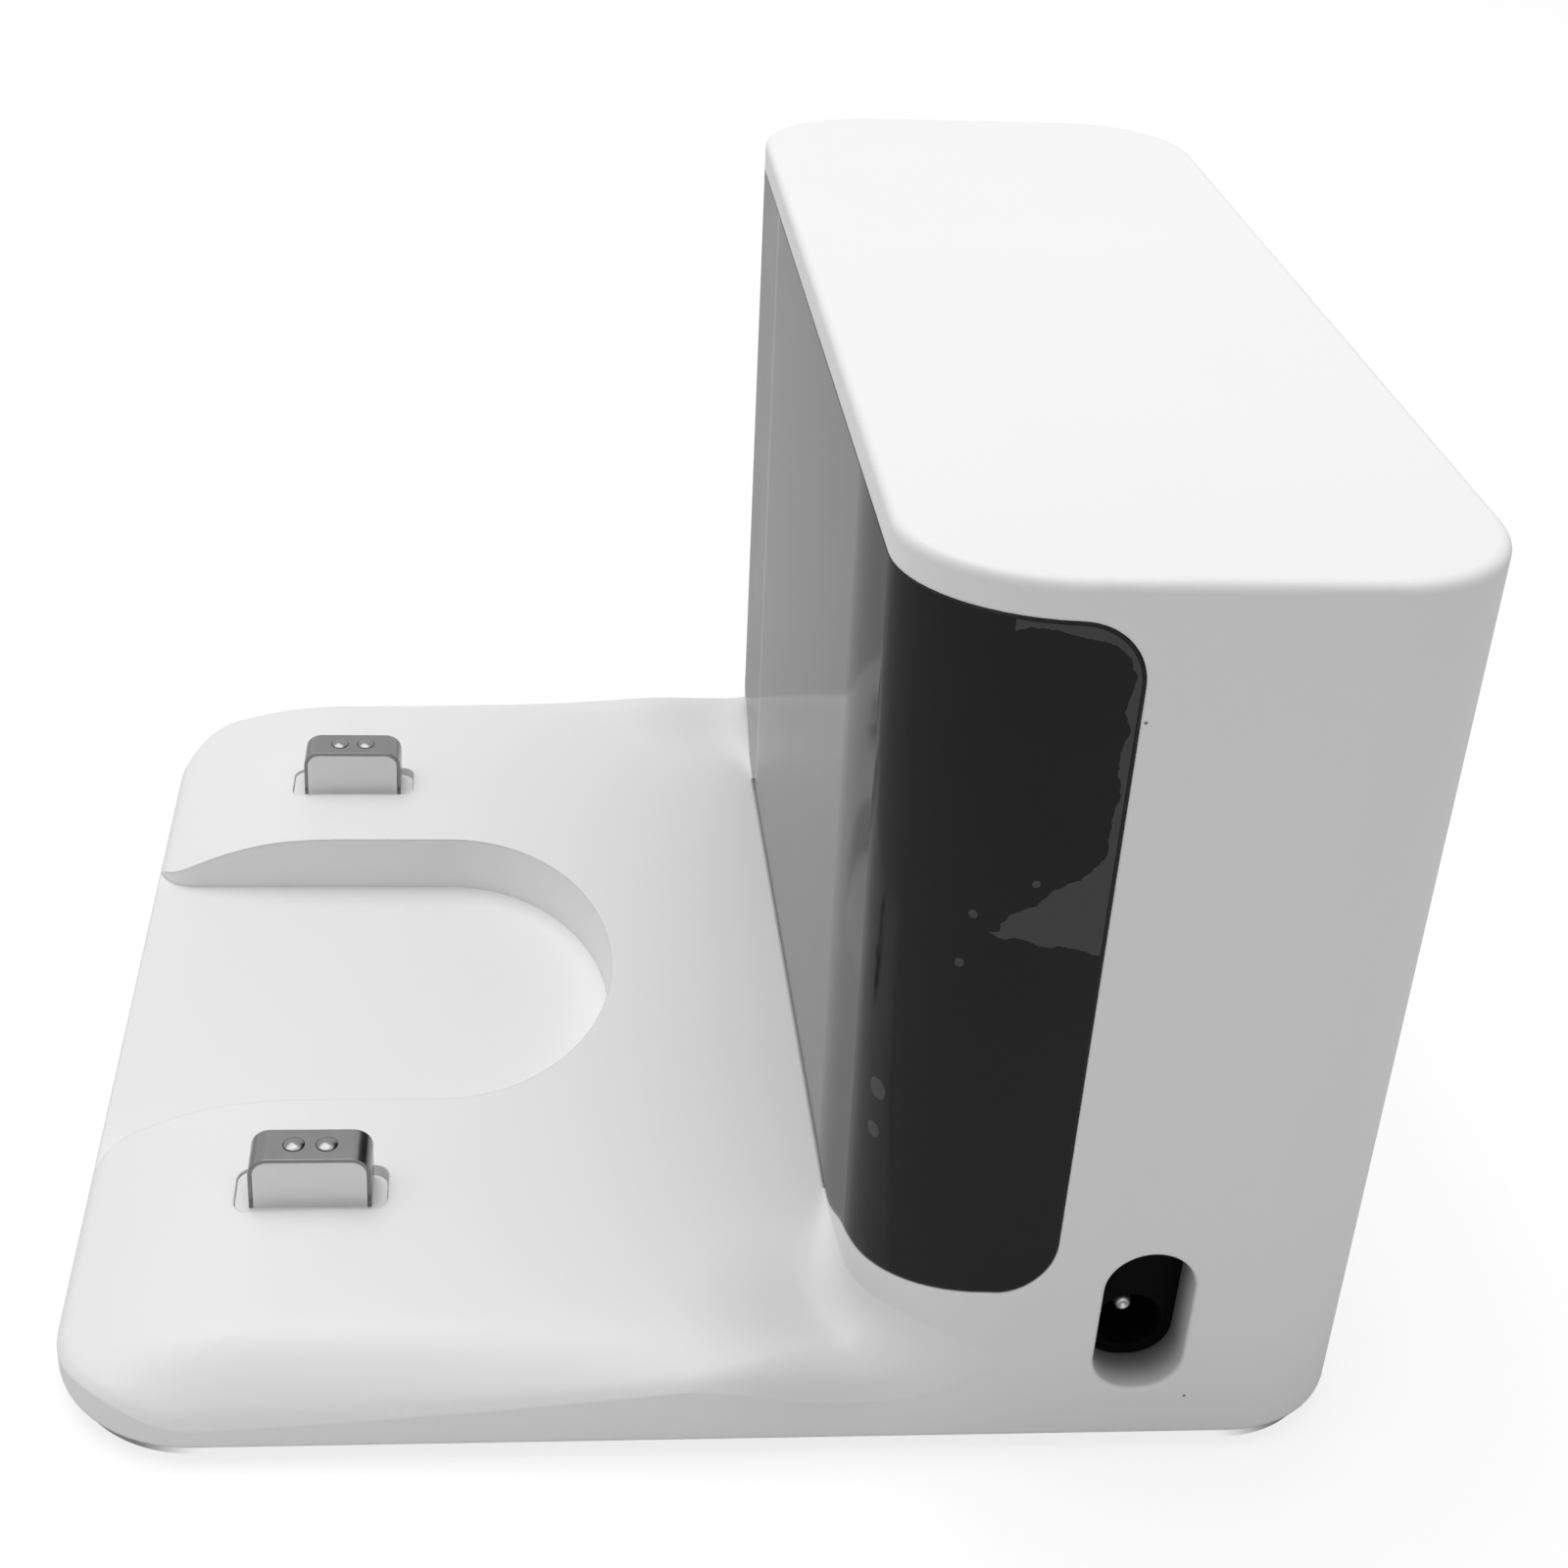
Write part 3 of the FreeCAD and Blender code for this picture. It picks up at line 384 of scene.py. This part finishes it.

# %% [markdown]
# ## Marks and painted shade on the shell
# The white shell has two tiny dark specks in its near side. Two more masks paint shade into its tone.
# The walls of the inlet's recess are darker than this light alone makes them, so painted shade darkens
# them towards the inside. Where the plate sweeps up to the tower's corners, the surface has a ridge
# that catches more light than it should, so a soft patch of painted shade there is a little greyer.
# Another lamp or another surface could do the same, but each would change the rest of the picture too.

# %% Find the specks and the painted shade
SPECKS = ((0.06414, 0.0312, 0.0804), (0.06495, 0.0452, 0.0066))
SPECK_RADIUS = 0.00016
INLET_Y = 0.0401
INLET_HALF_WIDE = 0.0044
INLET_LOW = 0.0074
INLET_HIGH = 0.0242
INLET_MOUTH = 0.0650
INLET_INSIDE = 0.0604
INLET_END = 0.060
SWEEP = (0.058, 0.009, 0.011)


def specks(start, place):
    """1 on the two specks."""
    first, second = [distance(start, place, point) < SPECK_RADIUS for point in SPECKS]
    return larger(first, second)


def inlet_shade(start, place):
    """Painted shade: rises from 0 at the inlet's mouth towards its inside, and is 0 elsewhere."""
    x, y, z = axes(start, place)
    depth = soft_step(start, x, INLET_MOUTH, INLET_INSIDE, 0.0, 0.9)
    beside = abs(y - INLET_Y) < INLET_HALF_WIDE
    return depth * beside * (z < INLET_HIGH) * (z > INLET_LOW) * (x > INLET_END)


def sweep_shade(start, place):
    """Painted shade: a faint soft patch on the ridge where the plate sweeps up to the tower's corners."""
    x, y, z = axes(start, place)
    mirrored = start.node("CombineXYZ", values={"X": abs(x), "Y": y, "Z": z})
    return soft_step(start, distance(start, mirrored, SWEEP), 0.001, 0.014, 0.18, 0.0)


print("specks at", [in_mm(point) for point in SPECKS])

# %% Make the plastics
# Two real specks and two patches of painted shade on the white shell
moulded("white_shell", (0.85, 0.85, 0.85), gloss=0.46, grain=1800.0, depth=0.00002, edge=0.0004,
        marks_and_painted_light=((specks, 0.22), (inlet_shade, 0.16), (sweep_shade, 0.16)))
moulded("white_cover", (0.82, 0.82, 0.82), gloss=0.55, grain=1400.0, depth=0.00004, edge=0.0003)
moulded("white_block", (0.83, 0.83, 0.83), gloss=0.42, grain=1800.0, depth=0.00002, edge=0.0001)
moulded("black_plastic", (0.004, 0.004, 0.004), gloss=0.6, grain=1600.0, depth=0.00003, edge=0.0003,
        shine=0.05)
moulded("ivory_plastic", (0.80, 0.77, 0.68), gloss=0.45, grain=1600.0, depth=0.00003, edge=0.0002)
print("plastics", sorted(finishes))

# %% [markdown]
# ## Film and painted reflection on the window
# A new window wears a clear film. Along the rim and in a wedge on the near side the window is a greyer
# tone: partly where that film has lifted, partly a painted reflection. A few small bubbles lie under the
# film. They could be an image, but a few distances and a noise that makes their outlines wander give
# the same marks at any scale. The rim is a rectangle with round corners, so the distance to it is
# measured from a smaller rectangle.

# %% Find the lifted film and the painted reflection
RIM_Y = 0.0249
RIM_Z = 0.0546
RIM_HALF_HIGH = 0.0290
RIM_ROUND = 0.0058
RIM_CLEAR = 0.0003
FILM_SHEEN_EDGE = 0.0010
FILM_SHEEN_LOWEST = 0.04
FILM_SHEEN_WHOLE = 0.072
FILM_SHEEN_NEAR = 0.0199
WEDGE_Y = 0.0208
WEDGE_Z = 0.0594
WEDGE_UPPER = 0.871
WEDGE_LOWER = 0.159
WEDGE_NEAR = 0.0206
# Each bubble's centre and radius
BUBBLES = (((0.0641, 0.0241, 0.0648), 0.0005), ((0.0628, 0.0195, 0.0608), 0.0003),
           ((0.0624, 0.0188, 0.0556), 0.0006), ((0.0576, 0.0140, 0.0381), 0.0011),
           ((0.0575, 0.0140, 0.0332), 0.0008))


def film_and_painted_sheen(start, place):
    """1 on the near side's greyer marks, lifted film and painted reflection: a strip at the rim, a wedge
    and some bubbles.
    """
    x, y, z = axes(start, place)
    wander = noise(start, place, 330.0, 4.0) - 0.5
    across = larger(y - RIM_Y, 0.0)
    upright = larger(abs(z - RIM_Z) - RIM_HALF_HIGH, 0.0)
    inside = RIM_ROUND - start.sum_of("SQRT", across * across + upright * upright)
    patchy = larger(noise(start, place, 70.0) > 0.47, z > FILM_SHEEN_WHOLE)
    strip = (inside < FILM_SHEEN_EDGE + wander * 0.0022) * patchy * (y > FILM_SHEEN_NEAR) * (z > FILM_SHEEN_LOWEST)
    below = z < WEDGE_Z + (y - WEDGE_Y) * WEDGE_UPPER + wander * 0.005
    above = z > WEDGE_Z - (y - WEDGE_Y) * WEDGE_LOWER + wander * 0.0025
    wedge = below * above * (y > WEDGE_NEAR)
    marks_and_painted_light = larger(strip, wedge) * (inside > RIM_CLEAR) * (x > 0.0)
    for point, radius in BUBBLES:
        marks_and_painted_light = larger(marks_and_painted_light, distance(start, place, point) < radius + wander * 0.0012)
    return marks_and_painted_light


print("film with", len(BUBBLES), "bubbles")

# %% [markdown]
# ## Smoked window
# The window passes infrared and looks black. Its face is polished, so nearly all its looks are
# reflections: pale where the eye grazes it, dark where it faces the eye. The base is almost black,
# the specular level is lower than that of glass, and a very shallow ripple and some smears keep the
# reflection from being a perfect mirror. Towards its ends the real front is bowed a little. The solid
# is flat there, so a long soft slope in the bump height turns the reflection as a bow would.

# %% Make the smoked finish
BOW_START = 0.034
BOW_END = 0.066
BOW_HEIGHT = -480.0
start, place = open_finish("smoked_window")
smear = noise(start, place, 90.0, 5.0)
ripple = noise(start, place, 35.0, 1.0)
bow = soft_step(start, abs(axes(start, place)[0]), BOW_START, BOW_END, 0.0, BOW_HEIGHT)
film_and_sheen = film_and_painted_sheen(start, place)
dark = two_tone(start, smear, (0.009, 0.009, 0.0093, 1), (0.012, 0.012, 0.0123, 1))
# Lighter grey on the lifted film, and painted reflection along the rim and in the wedge
tone = two_tone(start, film_and_sheen, dark, (0.062, 0.062, 0.063, 1))
rounded = start.node("Bevel", {"samples": BEVEL_SAMPLES}, {"Radius": 0.0004})
bumps = start.node("Bump", values={"Strength": 0.25, "Distance": 0.00003, "Height": ripple + bow,
                                   "Normal": rounded})
close_finish(start, {"Base Color": tone, "Roughness": 0.07 + smear * 0.08 + film_and_sheen * 0.2, "Normal": bumps,
                     "Specular IOR Level": 0.24})
print("window finish", len(finishes["smoked_window"].node_tree.nodes), "nodes")

# %% [markdown]
# ## Metals
# The contacts are nickel-plated strip, drawn lengthways, so fine lines run along Y. The screws and
# springs are plated steel. Stretching a noise pattern along one axis with a Mapping node gives the
# lines, and they change both the gloss and the height.

# %% Make the metals
LINE_STRETCH = (1.0, 0.06, 1.0)
LINE_DEPTH = 0.00001


def drawn_metal(name, colour, gloss, lines):
    """Plated metal with fine lines along Y."""
    start, place = open_finish(name)
    stretched = start.node("Mapping", values={"Vector": place, "Scale": LINE_STRETCH})
    streak = noise(start, stretched, lines, 3.0)
    stain = noise(start, place, 260.0, 3.0)
    tone = two_tone(start, stain, shade(colour, 0.9), shade(colour, 1.05))
    roughness = gloss - 0.04 + streak * 0.1 + stain * 0.05
    bumps = start.node("Bump", values={"Strength": 0.3, "Distance": LINE_DEPTH, "Height": streak})
    close_finish(start, {"Base Color": tone, "Roughness": roughness, "Metallic": 1.0, "Normal": bumps})


drawn_metal("contact_metal", (0.23, 0.23, 0.23), gloss=0.2, lines=5000.0)
drawn_metal("steel", (0.55, 0.55, 0.56), gloss=0.3, lines=3500.0)
drawn_metal("spring_steel", (0.48, 0.48, 0.50), gloss=0.26, lines=3500.0)
drawn_metal("pin_metal", (0.9, 0.9, 0.89), gloss=0.5, lines=5000.0)
print("finishes so far", len(finishes))

# %% [markdown]
# ## Rubber, board, lamps and leads
# These are below or inside the dock. The rubber is dull with a coarse grain. The board has copper
# tracks under its green mask, which a brick pattern gives as lighter lines that stand a little
# proud. The lamps are cast clear plastic, and the leads have a soft satin skin.

# %% Make the rubber and the leads
def soft_skin(name, colour, gloss, grain, depth):
    """A dull or satin skin with a fine grain."""
    start, place = open_finish(name)
    cloud = noise(start, place, 120.0, 4.0)
    tone = two_tone(start, cloud, shade(colour, 0.85), shade(colour, 1.12))
    bumps = start.node("Bump", values={"Strength": 0.4, "Distance": depth,
                                       "Height": noise(start, place, grain, 3.0)})
    close_finish(start, {"Base Color": tone, "Roughness": gloss - 0.05 + cloud * 0.1, "Normal": bumps})


soft_skin("grey_rubber", (0.10, 0.10, 0.10), gloss=0.85, grain=1500.0, depth=0.00008)
soft_skin("red_lead", (0.50, 0.03, 0.03), gloss=0.42, grain=2500.0, depth=0.00002)
soft_skin("black_lead", (0.02, 0.02, 0.02), gloss=0.42, grain=2500.0, depth=0.00002)
print("finishes so far", len(finishes))

# %% Make the board
start, place = open_finish("board_green")
flat = start.node("Mapping", values={"Vector": place, "Rotation": (math.pi / 2, 0, 0)})
tracks = start.node("TexBrick", {"offset": 0.37, "squash_frequency": 3, "squash": 0.6},
                    {"Vector": flat, "Scale": 90.0, "Mortar Size": 0.06, "Brick Width": 0.9,
                     "Row Height": 0.35}, output=1)
tone = two_tone(start, tracks, (0.012, 0.11, 0.045, 1), (0.03, 0.22, 0.09, 1))
bumps = start.node("Bump", values={"Strength": 0.6, "Distance": 0.00004, "Height": tracks})
gloss = 0.32 + noise(start, place, 300.0) * 0.12
close_finish(start, {"Base Color": tone, "Roughness": gloss, "Normal": bumps})
print("board finish", len(finishes["board_green"].node_tree.nodes), "nodes")

# %% Make the lamps
start, place = open_finish("clear_lamp")
haze = noise(start, place, 500.0, 3.0)
tone = two_tone(start, haze, (0.80, 0.82, 0.88, 1), (0.92, 0.93, 0.96, 1))
close_finish(start, {"Base Color": tone, "Roughness": 0.04 + haze * 0.08, "Transmission Weight": 0.85,
                     "IOR": 1.5})
print("finishes", len(finishes))

# %% [markdown]
# ## Dressing the solids
# Each solid of the frame names a slot in the record. A solid whose shape is right stays as it is and
# only gets its finish. The pieces below replace those whose edges show.

# %% Give every solid its finish
for name, solid in frame["nodes"].items():
    solid.material_slots[0].material = finishes[slot_of[name]]
print("dressed", len(frame["nodes"]), "solids")

# %% [markdown]
# ## Edges that catch the light
# The white blocks in the contacts are plain shapes with a fine round on every edge, and white on white
# that round is the only thing that outlines them. The frame's mesh is loose triangles, so a copy of it
# is merged, its flat triangles are joined to whole faces, and the sharp edges are bevelled. Weighted
# normals then keep the large faces flat and the rounds smooth. Each block also has a low collar, which
# shows in its slot a little below the plate. It is two boxes with round upright edges that overlap. The
# rear one is narrower on one side, so a dark gap of the slot stays open there.

# %% Write the steps that the new pieces share
def unique(items):
    """Each item once, in the order in which it first comes."""
    return list(dict.fromkeys(items))


def bevel(bm, edges, size, segments):
    """Rounds edges."""
    bmesh.ops.bevel(bm, geom=edges, offset=size, offset_type="OFFSET", affect="EDGES", segments=segments,
                    profile=0.5, material=-1)


def edges_over(bm, degrees):
    """The edges at which two faces meet at more than an angle."""
    return [e for e in bm.edges if len(e.link_faces) == 2 and e.calc_face_angle() > math.radians(degrees)]


def add_box(bm, low, high):
    """A box between two corners."""
    low, high = Vector(low), Vector(high)
    verts = bmesh.ops.create_cube(bm, size=1.0)["verts"]
    bmesh.ops.scale(bm, vec=high - low, verts=verts)
    bmesh.ops.translate(bm, vec=(high + low) / 2, verts=verts)
    return verts


def even_normals(piece):
    """Keeps the large faces flat where fine rounds meet them."""
    piece.modifiers.new("even_normals", "WEIGHTED_NORMAL").keep_sharp = True


def dress(piece, node, body):
    """Lets a new piece stand for a solid."""
    for face in piece.data.polygons:
        face.use_smooth = True
    piece.data.materials.append(finishes[slot_of[node]])
    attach(piece, body)
    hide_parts(node)


print("bevels, boxes and normals are ready")

# %% Round the blocks
CONTACT_X = 0.0391
SIDES = (("near", CONTACT_X), ("far", -CONTACT_X))
BLOCK_ROUND = 0.00015
COLLAR_ROUND = 0.0015
COLLARS = (((-0.00316, -0.0466, 0.0085), (0.00316, -0.0385, 0.0101)),
           ((-0.0024, -0.0430, 0.0085), (0.00316, -0.0314, 0.01012)))


def add_collar(bm, low, high):
    """A low box with round upright edges."""
    box = add_box(bm, low, high)
    upright = [e for v in box for e in v.link_edges if e.verts[0].co.xy == e.verts[1].co.xy]
    bevel(bm, unique(upright), COLLAR_ROUND, 6)


for side, x in SIDES:
    node = "contact_block_" + side
    bm = bmesh.new()
    bm.from_mesh(frame["nodes"][node].data)
    bmesh.ops.remove_doubles(bm, verts=bm.verts, dist=1e-6)
    bmesh.ops.dissolve_limit(bm, angle_limit=math.radians(0.6), verts=bm.verts, edges=bm.edges)
    bevel(bm, edges_over(bm, degrees=40), BLOCK_ROUND, 3)
    for low, high in COLLARS:
        add_collar(bm, (x + low[0], *low[1:]), (x + high[0], *high[1:]))
    block = new_mesh(side + "_block", bm)
    even_normals(block)
    dress(block, node, side + "_contact")
    print(side, "block", len(block.data.polygons), "faces")

# %% [markdown]
# ## Bead under the window
# The window stands in a groove behind the plate, and the groove is a little wider than the window so
# that it can be put in. A thin white bead fills that gap, so the plate seems to run up to the window.
# It is one long box with its edges bevelled.

# %% Lay the bead
BEAD_LOW = (-0.047, 0.013155, 0.01015)
BEAD_HIGH = (0.047, 0.013285, 0.01065)
BEAD_ROUND = 0.00003
bm = bmesh.new()
add_box(bm, BEAD_LOW, BEAD_HIGH)
bevel(bm, bm.edges[:], BEAD_ROUND, 2)
bead = new_mesh("window_bead", bm)
bead.data.materials.append(finishes["white_shell"])
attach(bead, "dock")
print("bead", in_mm(bead.dimensions), "mm")

# %% [markdown]
# ## Contact strips
# Each contact is a metal strip bent over its block, with two domes that touch the robot. A press
# brake bends it from flat stock, and the mesh is made in the same order: an edge as wide as the strip
# is extruded along the straight runs and spun round the bends, and the sheet is then given its
# thickness. The domes are arcs spun round an upright axis and closed underneath.

# %% Bend a strip
CONTACT_Y = -0.039
STRIP_WIDE = 0.00465
STRIP_LONG = 0.0123
STRIP_TOP = 0.0163
STRIP_LOW = 0.0069
STRIP_FOOT = 0.00495
SHOULDER = 0.002
SHOULDER_STEPS = 10
HEEL = 0.0006
HEEL_STEPS = 4
STRIP_RISE = STRIP_TOP - STRIP_LOW - HEEL - SHOULDER


def straight(bm, edge, move):
    """Extrudes an edge and gives back the new one."""
    made = bmesh.ops.extrude_edge_only(bm, edges=[edge])["geom"]
    ends = [v for v in made if isinstance(v, bmesh.types.BMVert)]
    bmesh.ops.translate(bm, verts=ends, vec=move)
    return next(e for e in made if isinstance(e, bmesh.types.BMEdge) and set(e.verts) == set(ends))


def bend(bm, edge, centre, steps):
    """Spins an edge a quarter turn round an axis across the dock and gives back the last one."""
    made = bmesh.ops.spin(bm, geom=[edge, *edge.verts], cent=centre, axis=(1, 0, 0), angle=-math.pi / 2,
                          steps=steps)
    return next(e for e in made["geom_last"] if isinstance(e, bmesh.types.BMEdge))


def bent_sheet(x):
    """The strip's outer skin, from one folded foot over the top to the other."""
    bm = bmesh.new()
    near = CONTACT_Y - STRIP_LONG / 2
    far = CONTACT_Y + STRIP_LONG / 2
    corners = [bm.verts.new((x + end * STRIP_WIDE / 2, near + STRIP_FOOT, STRIP_LOW)) for end in (-1, 1)]
    edge = bm.edges.new(corners)
    edge = straight(bm, edge, (0, HEEL - STRIP_FOOT, 0))
    edge = bend(bm, edge, (x, near + HEEL, STRIP_LOW + HEEL), HEEL_STEPS)
    edge = straight(bm, edge, (0, 0, STRIP_RISE))
    edge = bend(bm, edge, (x, near + SHOULDER, STRIP_TOP - SHOULDER), SHOULDER_STEPS)
    edge = straight(bm, edge, (0, STRIP_LONG - 2 * SHOULDER, 0))
    edge = bend(bm, edge, (x, far - SHOULDER, STRIP_TOP - SHOULDER), SHOULDER_STEPS)
    edge = straight(bm, edge, (0, 0, -STRIP_RISE))
    edge = bend(bm, edge, (x, far - HEEL, STRIP_LOW + HEEL), HEEL_STEPS)
    straight(bm, edge, (0, HEEL - STRIP_FOOT, 0))
    bmesh.ops.remove_doubles(bm, verts=bm.verts, dist=1e-7)
    bmesh.ops.recalc_face_normals(bm, faces=bm.faces)
    return bm


print("a strip's straight runs", in_mm((STRIP_FOOT - HEEL, STRIP_RISE, STRIP_LONG - 2 * SHOULDER)), "mm")

# %% Raise a dome
DOME_RADIUS = 0.00112
DOME_RISE = 0.00035
DOME_BALL = (DOME_RADIUS ** 2 + DOME_RISE ** 2) / (2 * DOME_RISE)


def add_dome(bm, x, y):
    """One dome on the strip: an arc from its top to its rim, spun round and closed underneath."""
    before = set(bm.edges)
    top = bm.verts.new((x, y, STRIP_TOP + DOME_RISE))
    bmesh.ops.spin(bm, geom=[top], cent=(x, y, STRIP_TOP + DOME_RISE - DOME_BALL), axis=(0, 1, 0),
                   angle=math.asin(DOME_RADIUS / DOME_BALL), steps=7)
    arc = [e for e in bm.edges if e not in before]
    bmesh.ops.spin(bm, geom=[*arc, *unique(v for e in arc for v in e.verts)], cent=(x, y, 0),
                   axis=(0, 0, 1), angle=2 * math.pi, steps=28, use_merge=True)
    new_verts = unique(v for e in bm.edges if e not in before for v in e.verts)
    bmesh.ops.remove_doubles(bm, verts=new_verts, dist=1e-7)
    bmesh.ops.holes_fill(bm, edges=[e for e in bm.edges if len(e.link_faces) == 1], sides=0)
    bmesh.ops.recalc_face_normals(bm, faces=[f for f in bm.faces if not before.issuperset(f.edges)])


print("domes are part of a ball of", in_mm([DOME_BALL]), "mm radius")

# %% Make both strips
STRIP_THICK = 0.0004
STRIP_ROUND = 0.00007
DOME_APART = 0.00165
for side, x in SIDES:
    bm = bent_sheet(x)
    bmesh.ops.solidify(bm, geom=bm.faces[:], thickness=STRIP_THICK)
    bevel(bm, edges_over(bm, degrees=60), STRIP_ROUND, 2)
    for end in (-1, 1):
        add_dome(bm, x, CONTACT_Y + end * DOME_APART)
    strip = new_mesh(side + "_strip", bm)
    even_normals(strip)
    dress(strip, "contact_strip_" + side, side + "_contact")
    low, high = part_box("contact_strip_" + side)
    corners = [Vector(corner) for corner in strip.bound_box]
    print(side, "strip", in_mm(min(c[i] for c in corners) - low[i] for i in range(3)),
          in_mm(max(c[i] for c in corners) - high[i] for i in range(3)), "mm off its solid")

# %% [markdown]
# ## Inlet pin and rubber feet
# Both are turned shapes, so each is half an outline spun round an axis. The pin's end is round at its
# rim and has a dimple, which holds a spot of light. A foot has a round lower rim and a shallow ring in
# its face, as moulded feet have so that they grip. A cylinder with bevelled rims would be quicker, but
# it has neither the dimple nor the ring.

# %% Turn the pin
# Shares of the pin's radius: out from its axis, and back from its end
PIN_END = [(0.0, 0.3), (0.28, 0.26), (0.42, 0.1), (0.55, 0.0), (0.75, 0.05), (0.92, 0.24), (1.0, 0.55)]


def turned(bm, points, centre, axis, steps):
    """Spins an outline of points round an axis and closes the poles."""
    verts = [bm.verts.new(p) for p in points]
    edges = [bm.edges.new(pair) for pair in zip(verts, verts[1:])]
    bmesh.ops.spin(bm, geom=[*verts, *edges], cent=centre, axis=axis, angle=2 * math.pi, steps=steps,
                   use_merge=True)
    bmesh.ops.remove_doubles(bm, verts=bm.verts, dist=1e-7)
    bmesh.ops.recalc_face_normals(bm, faces=bm.faces)


low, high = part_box("jack_centre_pin")
middle = (Vector(low) + Vector(high)) / 2
radius = (high[2] - low[2]) / 2
bm = bmesh.new()
outline = [(high[0] - back * radius, middle.y, middle.z + out * radius) for out, back in PIN_END]
outline += [(low[0], middle.y, middle.z + radius), (low[0], middle.y, middle.z)]
turned(bm, outline, middle, (1, 0, 0), 28)
pin = new_mesh("inlet_pin", bm)
even_normals(pin)
dress(pin, "jack_centre_pin", "dock")
pin.data.materials[0] = finishes["pin_metal"]
print("pin", len(pin.data.polygons), "faces")

# %% Turn the feet
# Millimetres out from a foot's axis, and up
FOOT_OUTLINE = [(0.0, 0.0), (2.1, 0.0), (2.25, 0.18), (2.6, 0.18), (2.75, 0.0), (4.6, 0.0), (4.78, 0.05),
                (4.92, 0.17), (5.0, 0.4), (5.0, 1.7), (0.0, 1.7)]
FOOT_PLACES = [(-0.054, -0.032, 0), (0.054, -0.032, 0), (0.054, 0.046, 0), (-0.054, 0.046, 0)]


def verts_in(items):
    """The vertices among some parts of a mesh."""
    return [item for item in items if isinstance(item, bmesh.types.BMVert)]


bm = bmesh.new()
turned(bm, [(out / 1000, 0, up / 1000) for out, up in FOOT_OUTLINE], (0, 0, 0), (0, 0, 1), 40)
first = bm.faces[:] + bm.edges[:] + bm.verts[:]
for place in FOOT_PLACES[1:]:
    bmesh.ops.translate(bm, verts=verts_in(bmesh.ops.duplicate(bm, geom=first)["geom"]), vec=place)
bmesh.ops.translate(bm, verts=verts_in(first), vec=FOOT_PLACES[0])
feet = new_mesh("floor_feet", bm)
even_normals(feet)
dress(feet, "rubber_feet", "dock")
print("feet", len(feet.data.polygons), "faces")

# %% [markdown]
# ## Springs
# Two coil springs push each contact up, and they have to shorten when it goes down. So a small ring is
# spun round an upright axis and lifted a little at each step, which is how a coil is wound on a rod.

# %% Write a coil
COIL_RADIUS = 0.0016
WIRE_RADIUS = 0.000175
TURNS = 3
STEPS = 24 * TURNS


def wound(bm, x, y, low, high):
    """One open coil between two heights."""
    ring = bmesh.ops.create_circle(bm, radius=WIRE_RADIUS, segments=10)["verts"]
    bmesh.ops.rotate(bm, verts=ring, cent=(0, 0, 0), matrix=Matrix.Rotation(math.pi / 2, 3, "X"))
    bmesh.ops.translate(bm, verts=ring, vec=(x + COIL_RADIUS, y, low + WIRE_RADIUS))
    edges = unique(e for v in ring for e in v.link_edges)
    lift = (0, 0, (high - low - 2 * WIRE_RADIUS) / STEPS)
    bmesh.ops.spin(bm, geom=[*ring, *edges], cent=(x, y, 0), axis=(0, 0, 1), dvec=lift,
                   angle=2 * math.pi * TURNS, steps=STEPS)


print("a coil has", STEPS, "steps in", TURNS, "turns")

# %% Wind the springs
SPRING_APART = 0.0036
TRAVEL = 0.003
for side, x in SIDES:
    low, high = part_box("contact_springs_" + side)
    bm = bmesh.new()
    for end in (-1, 1):
        wound(bm, x, CONTACT_Y + end * SPRING_APART, low[2], high[2])
    bmesh.ops.holes_fill(bm, edges=[e for e in bm.edges if len(e.link_faces) == 1], sides=0)
    bmesh.ops.recalc_face_normals(bm, faces=bm.faces)
    coils = new_mesh(side + "_springs", bm)
    dress(coils, "contact_springs_" + side, "dock")
    left = (high[2] - low[2] - TRAVEL) / (high[2] - low[2])
    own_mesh(coils)
    heights = [v.co.z for v in coils.data.vertices]
    print(side, "springs", in_mm((low[2], high[2])), "drawn", in_mm((min(heights), max(heights))),
          "mm, share left", round(left, 2))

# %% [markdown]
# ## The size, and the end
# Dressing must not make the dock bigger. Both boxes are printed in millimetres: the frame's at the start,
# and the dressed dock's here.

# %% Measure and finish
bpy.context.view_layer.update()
print("visual box in mm", [in_mm(corner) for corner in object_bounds()])
